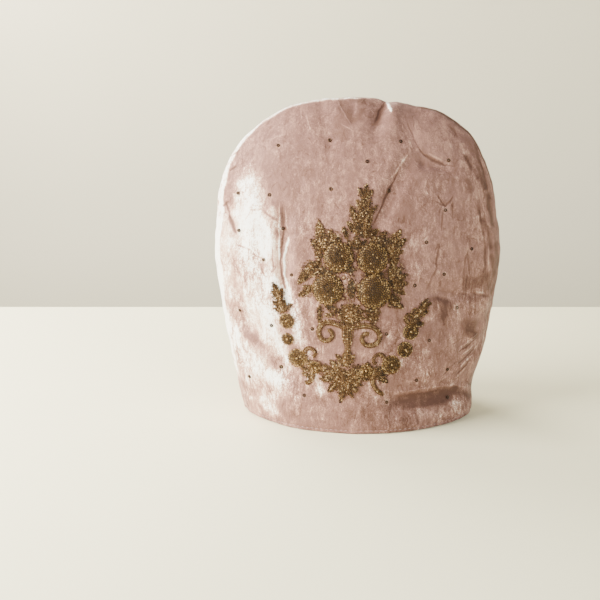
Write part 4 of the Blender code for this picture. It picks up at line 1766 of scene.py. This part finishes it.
class TEACOSY_OT_stage(bpy.types.Operator):
    """Set up the floor, the backdrop, the soft light and the camera"""

    bl_idname = "tea_cosy.stage"
    bl_label = "Stage"

    def execute(self, context):
        settings = context.scene.tea_cosy.stage
        for name, colour, near, far, low, high in (
            ("floor", settings.floor, -3.0, 0.46, -0.02, 0.0),
            ("backdrop", settings.backdrop, 1.30, 1.32, -0.8, 2.6),
        ):
            form = bmesh.new()
            bmesh.ops.create_cube(form, size=1.0)
            bmesh.ops.scale(form, vec=(7.0, far - near, high - low), verts=form.verts)
            bmesh.ops.translate(form, vec=(0.0, (near + far) / 2, (low + high) / 2), verts=form.verts)
            piece = shown(context, name, form, [stage_finish(name, colour)])
            piece.data.shade_flat()
        middle = (0.0, 0.0, 0.15)
        for name, place, size, power, colour in (
            ("key", (-1.20, -0.35, 0.65), 1.2, settings.key_power, settings.light_colour),
            ("fill", (1.60, -2.00, 0.90), 2.0, settings.fill_power, settings.fill_colour),
            ("rim", (-0.80, 0.95, 0.80), 0.9, settings.rim_power, settings.light_colour),
        ):
            add_light(context, name, place, middle, size, power, colour)
        world = bpy.data.worlds.new("studio")
        world.use_nodes = True
        world.node_tree.nodes["Background"].inputs["Color"].default_value = (1.0, 0.98, 0.94, 1.0)
        world.node_tree.nodes["Background"].inputs["Strength"].default_value = settings.sky_strength
        context.scene.world = world
        lens = bpy.data.cameras.new("camera")
        lens.lens = settings.lens
        lens.sensor_width = 36.0
        camera = bpy.data.objects.new("camera", lens)
        camera.location = settings.camera_place
        camera.rotation_euler = (math.radians(90) - settings.camera_tilt, 0.0, 0.0)
        context.scene.collection.objects.link(camera)
        bpy.context.scene.camera = camera
        return {"FINISHED"}


class TEACOSY_PT_sidebar(bpy.types.Panel):
    """Lists the pieces of the tea cosy"""

    bl_idname = "TEACOSY_PT_sidebar"
    bl_label = "Tea Cosy"
    bl_space_type = "VIEW_3D"
    bl_region_type = "UI"
    bl_category = "Tea Cosy"

    def draw(self, context):
        settings = context.scene.tea_cosy
        for label, group in (
            ("Cloth", settings.cloth), ("Velvet", settings.velvet), ("Beads", settings.beads),
            ("Stage", settings.stage),
        ):
            box = self.layout.box()
            box.label(text=label)
            for name in group.__annotations__:
                box.prop(group, name)
        for operator in OPERATORS:
            self.layout.operator(operator.bl_idname)


OPERATORS = (
    TEACOSY_OT_stage,
    TEACOSY_OT_panels,
    TEACOSY_OT_hem_stitches,
    TEACOSY_OT_bouquet,
    TEACOSY_OT_garland,
    TEACOSY_OT_strewn_rings,
)
SETTINGS = (ClothSettings, VelvetSettings, BeadSettings, StageSettings, CosySettings)
CLASSES = (*SETTINGS, *OPERATORS, TEACOSY_PT_sidebar)


def register():
    for kind in CLASSES:
        bpy.utils.register_class(kind)
    bpy.types.Scene.tea_cosy = PointerProperty(type=CosySettings)


def unregister():
    del bpy.types.Scene.tea_cosy
    for kind in reversed(CLASSES):
        bpy.utils.unregister_class(kind)


def main():
    register()
    for operator in OPERATORS:
        group, name = operator.bl_idname.split(".")
        getattr(getattr(bpy.ops, group), name)()


if __name__ == "__main__":
    main()
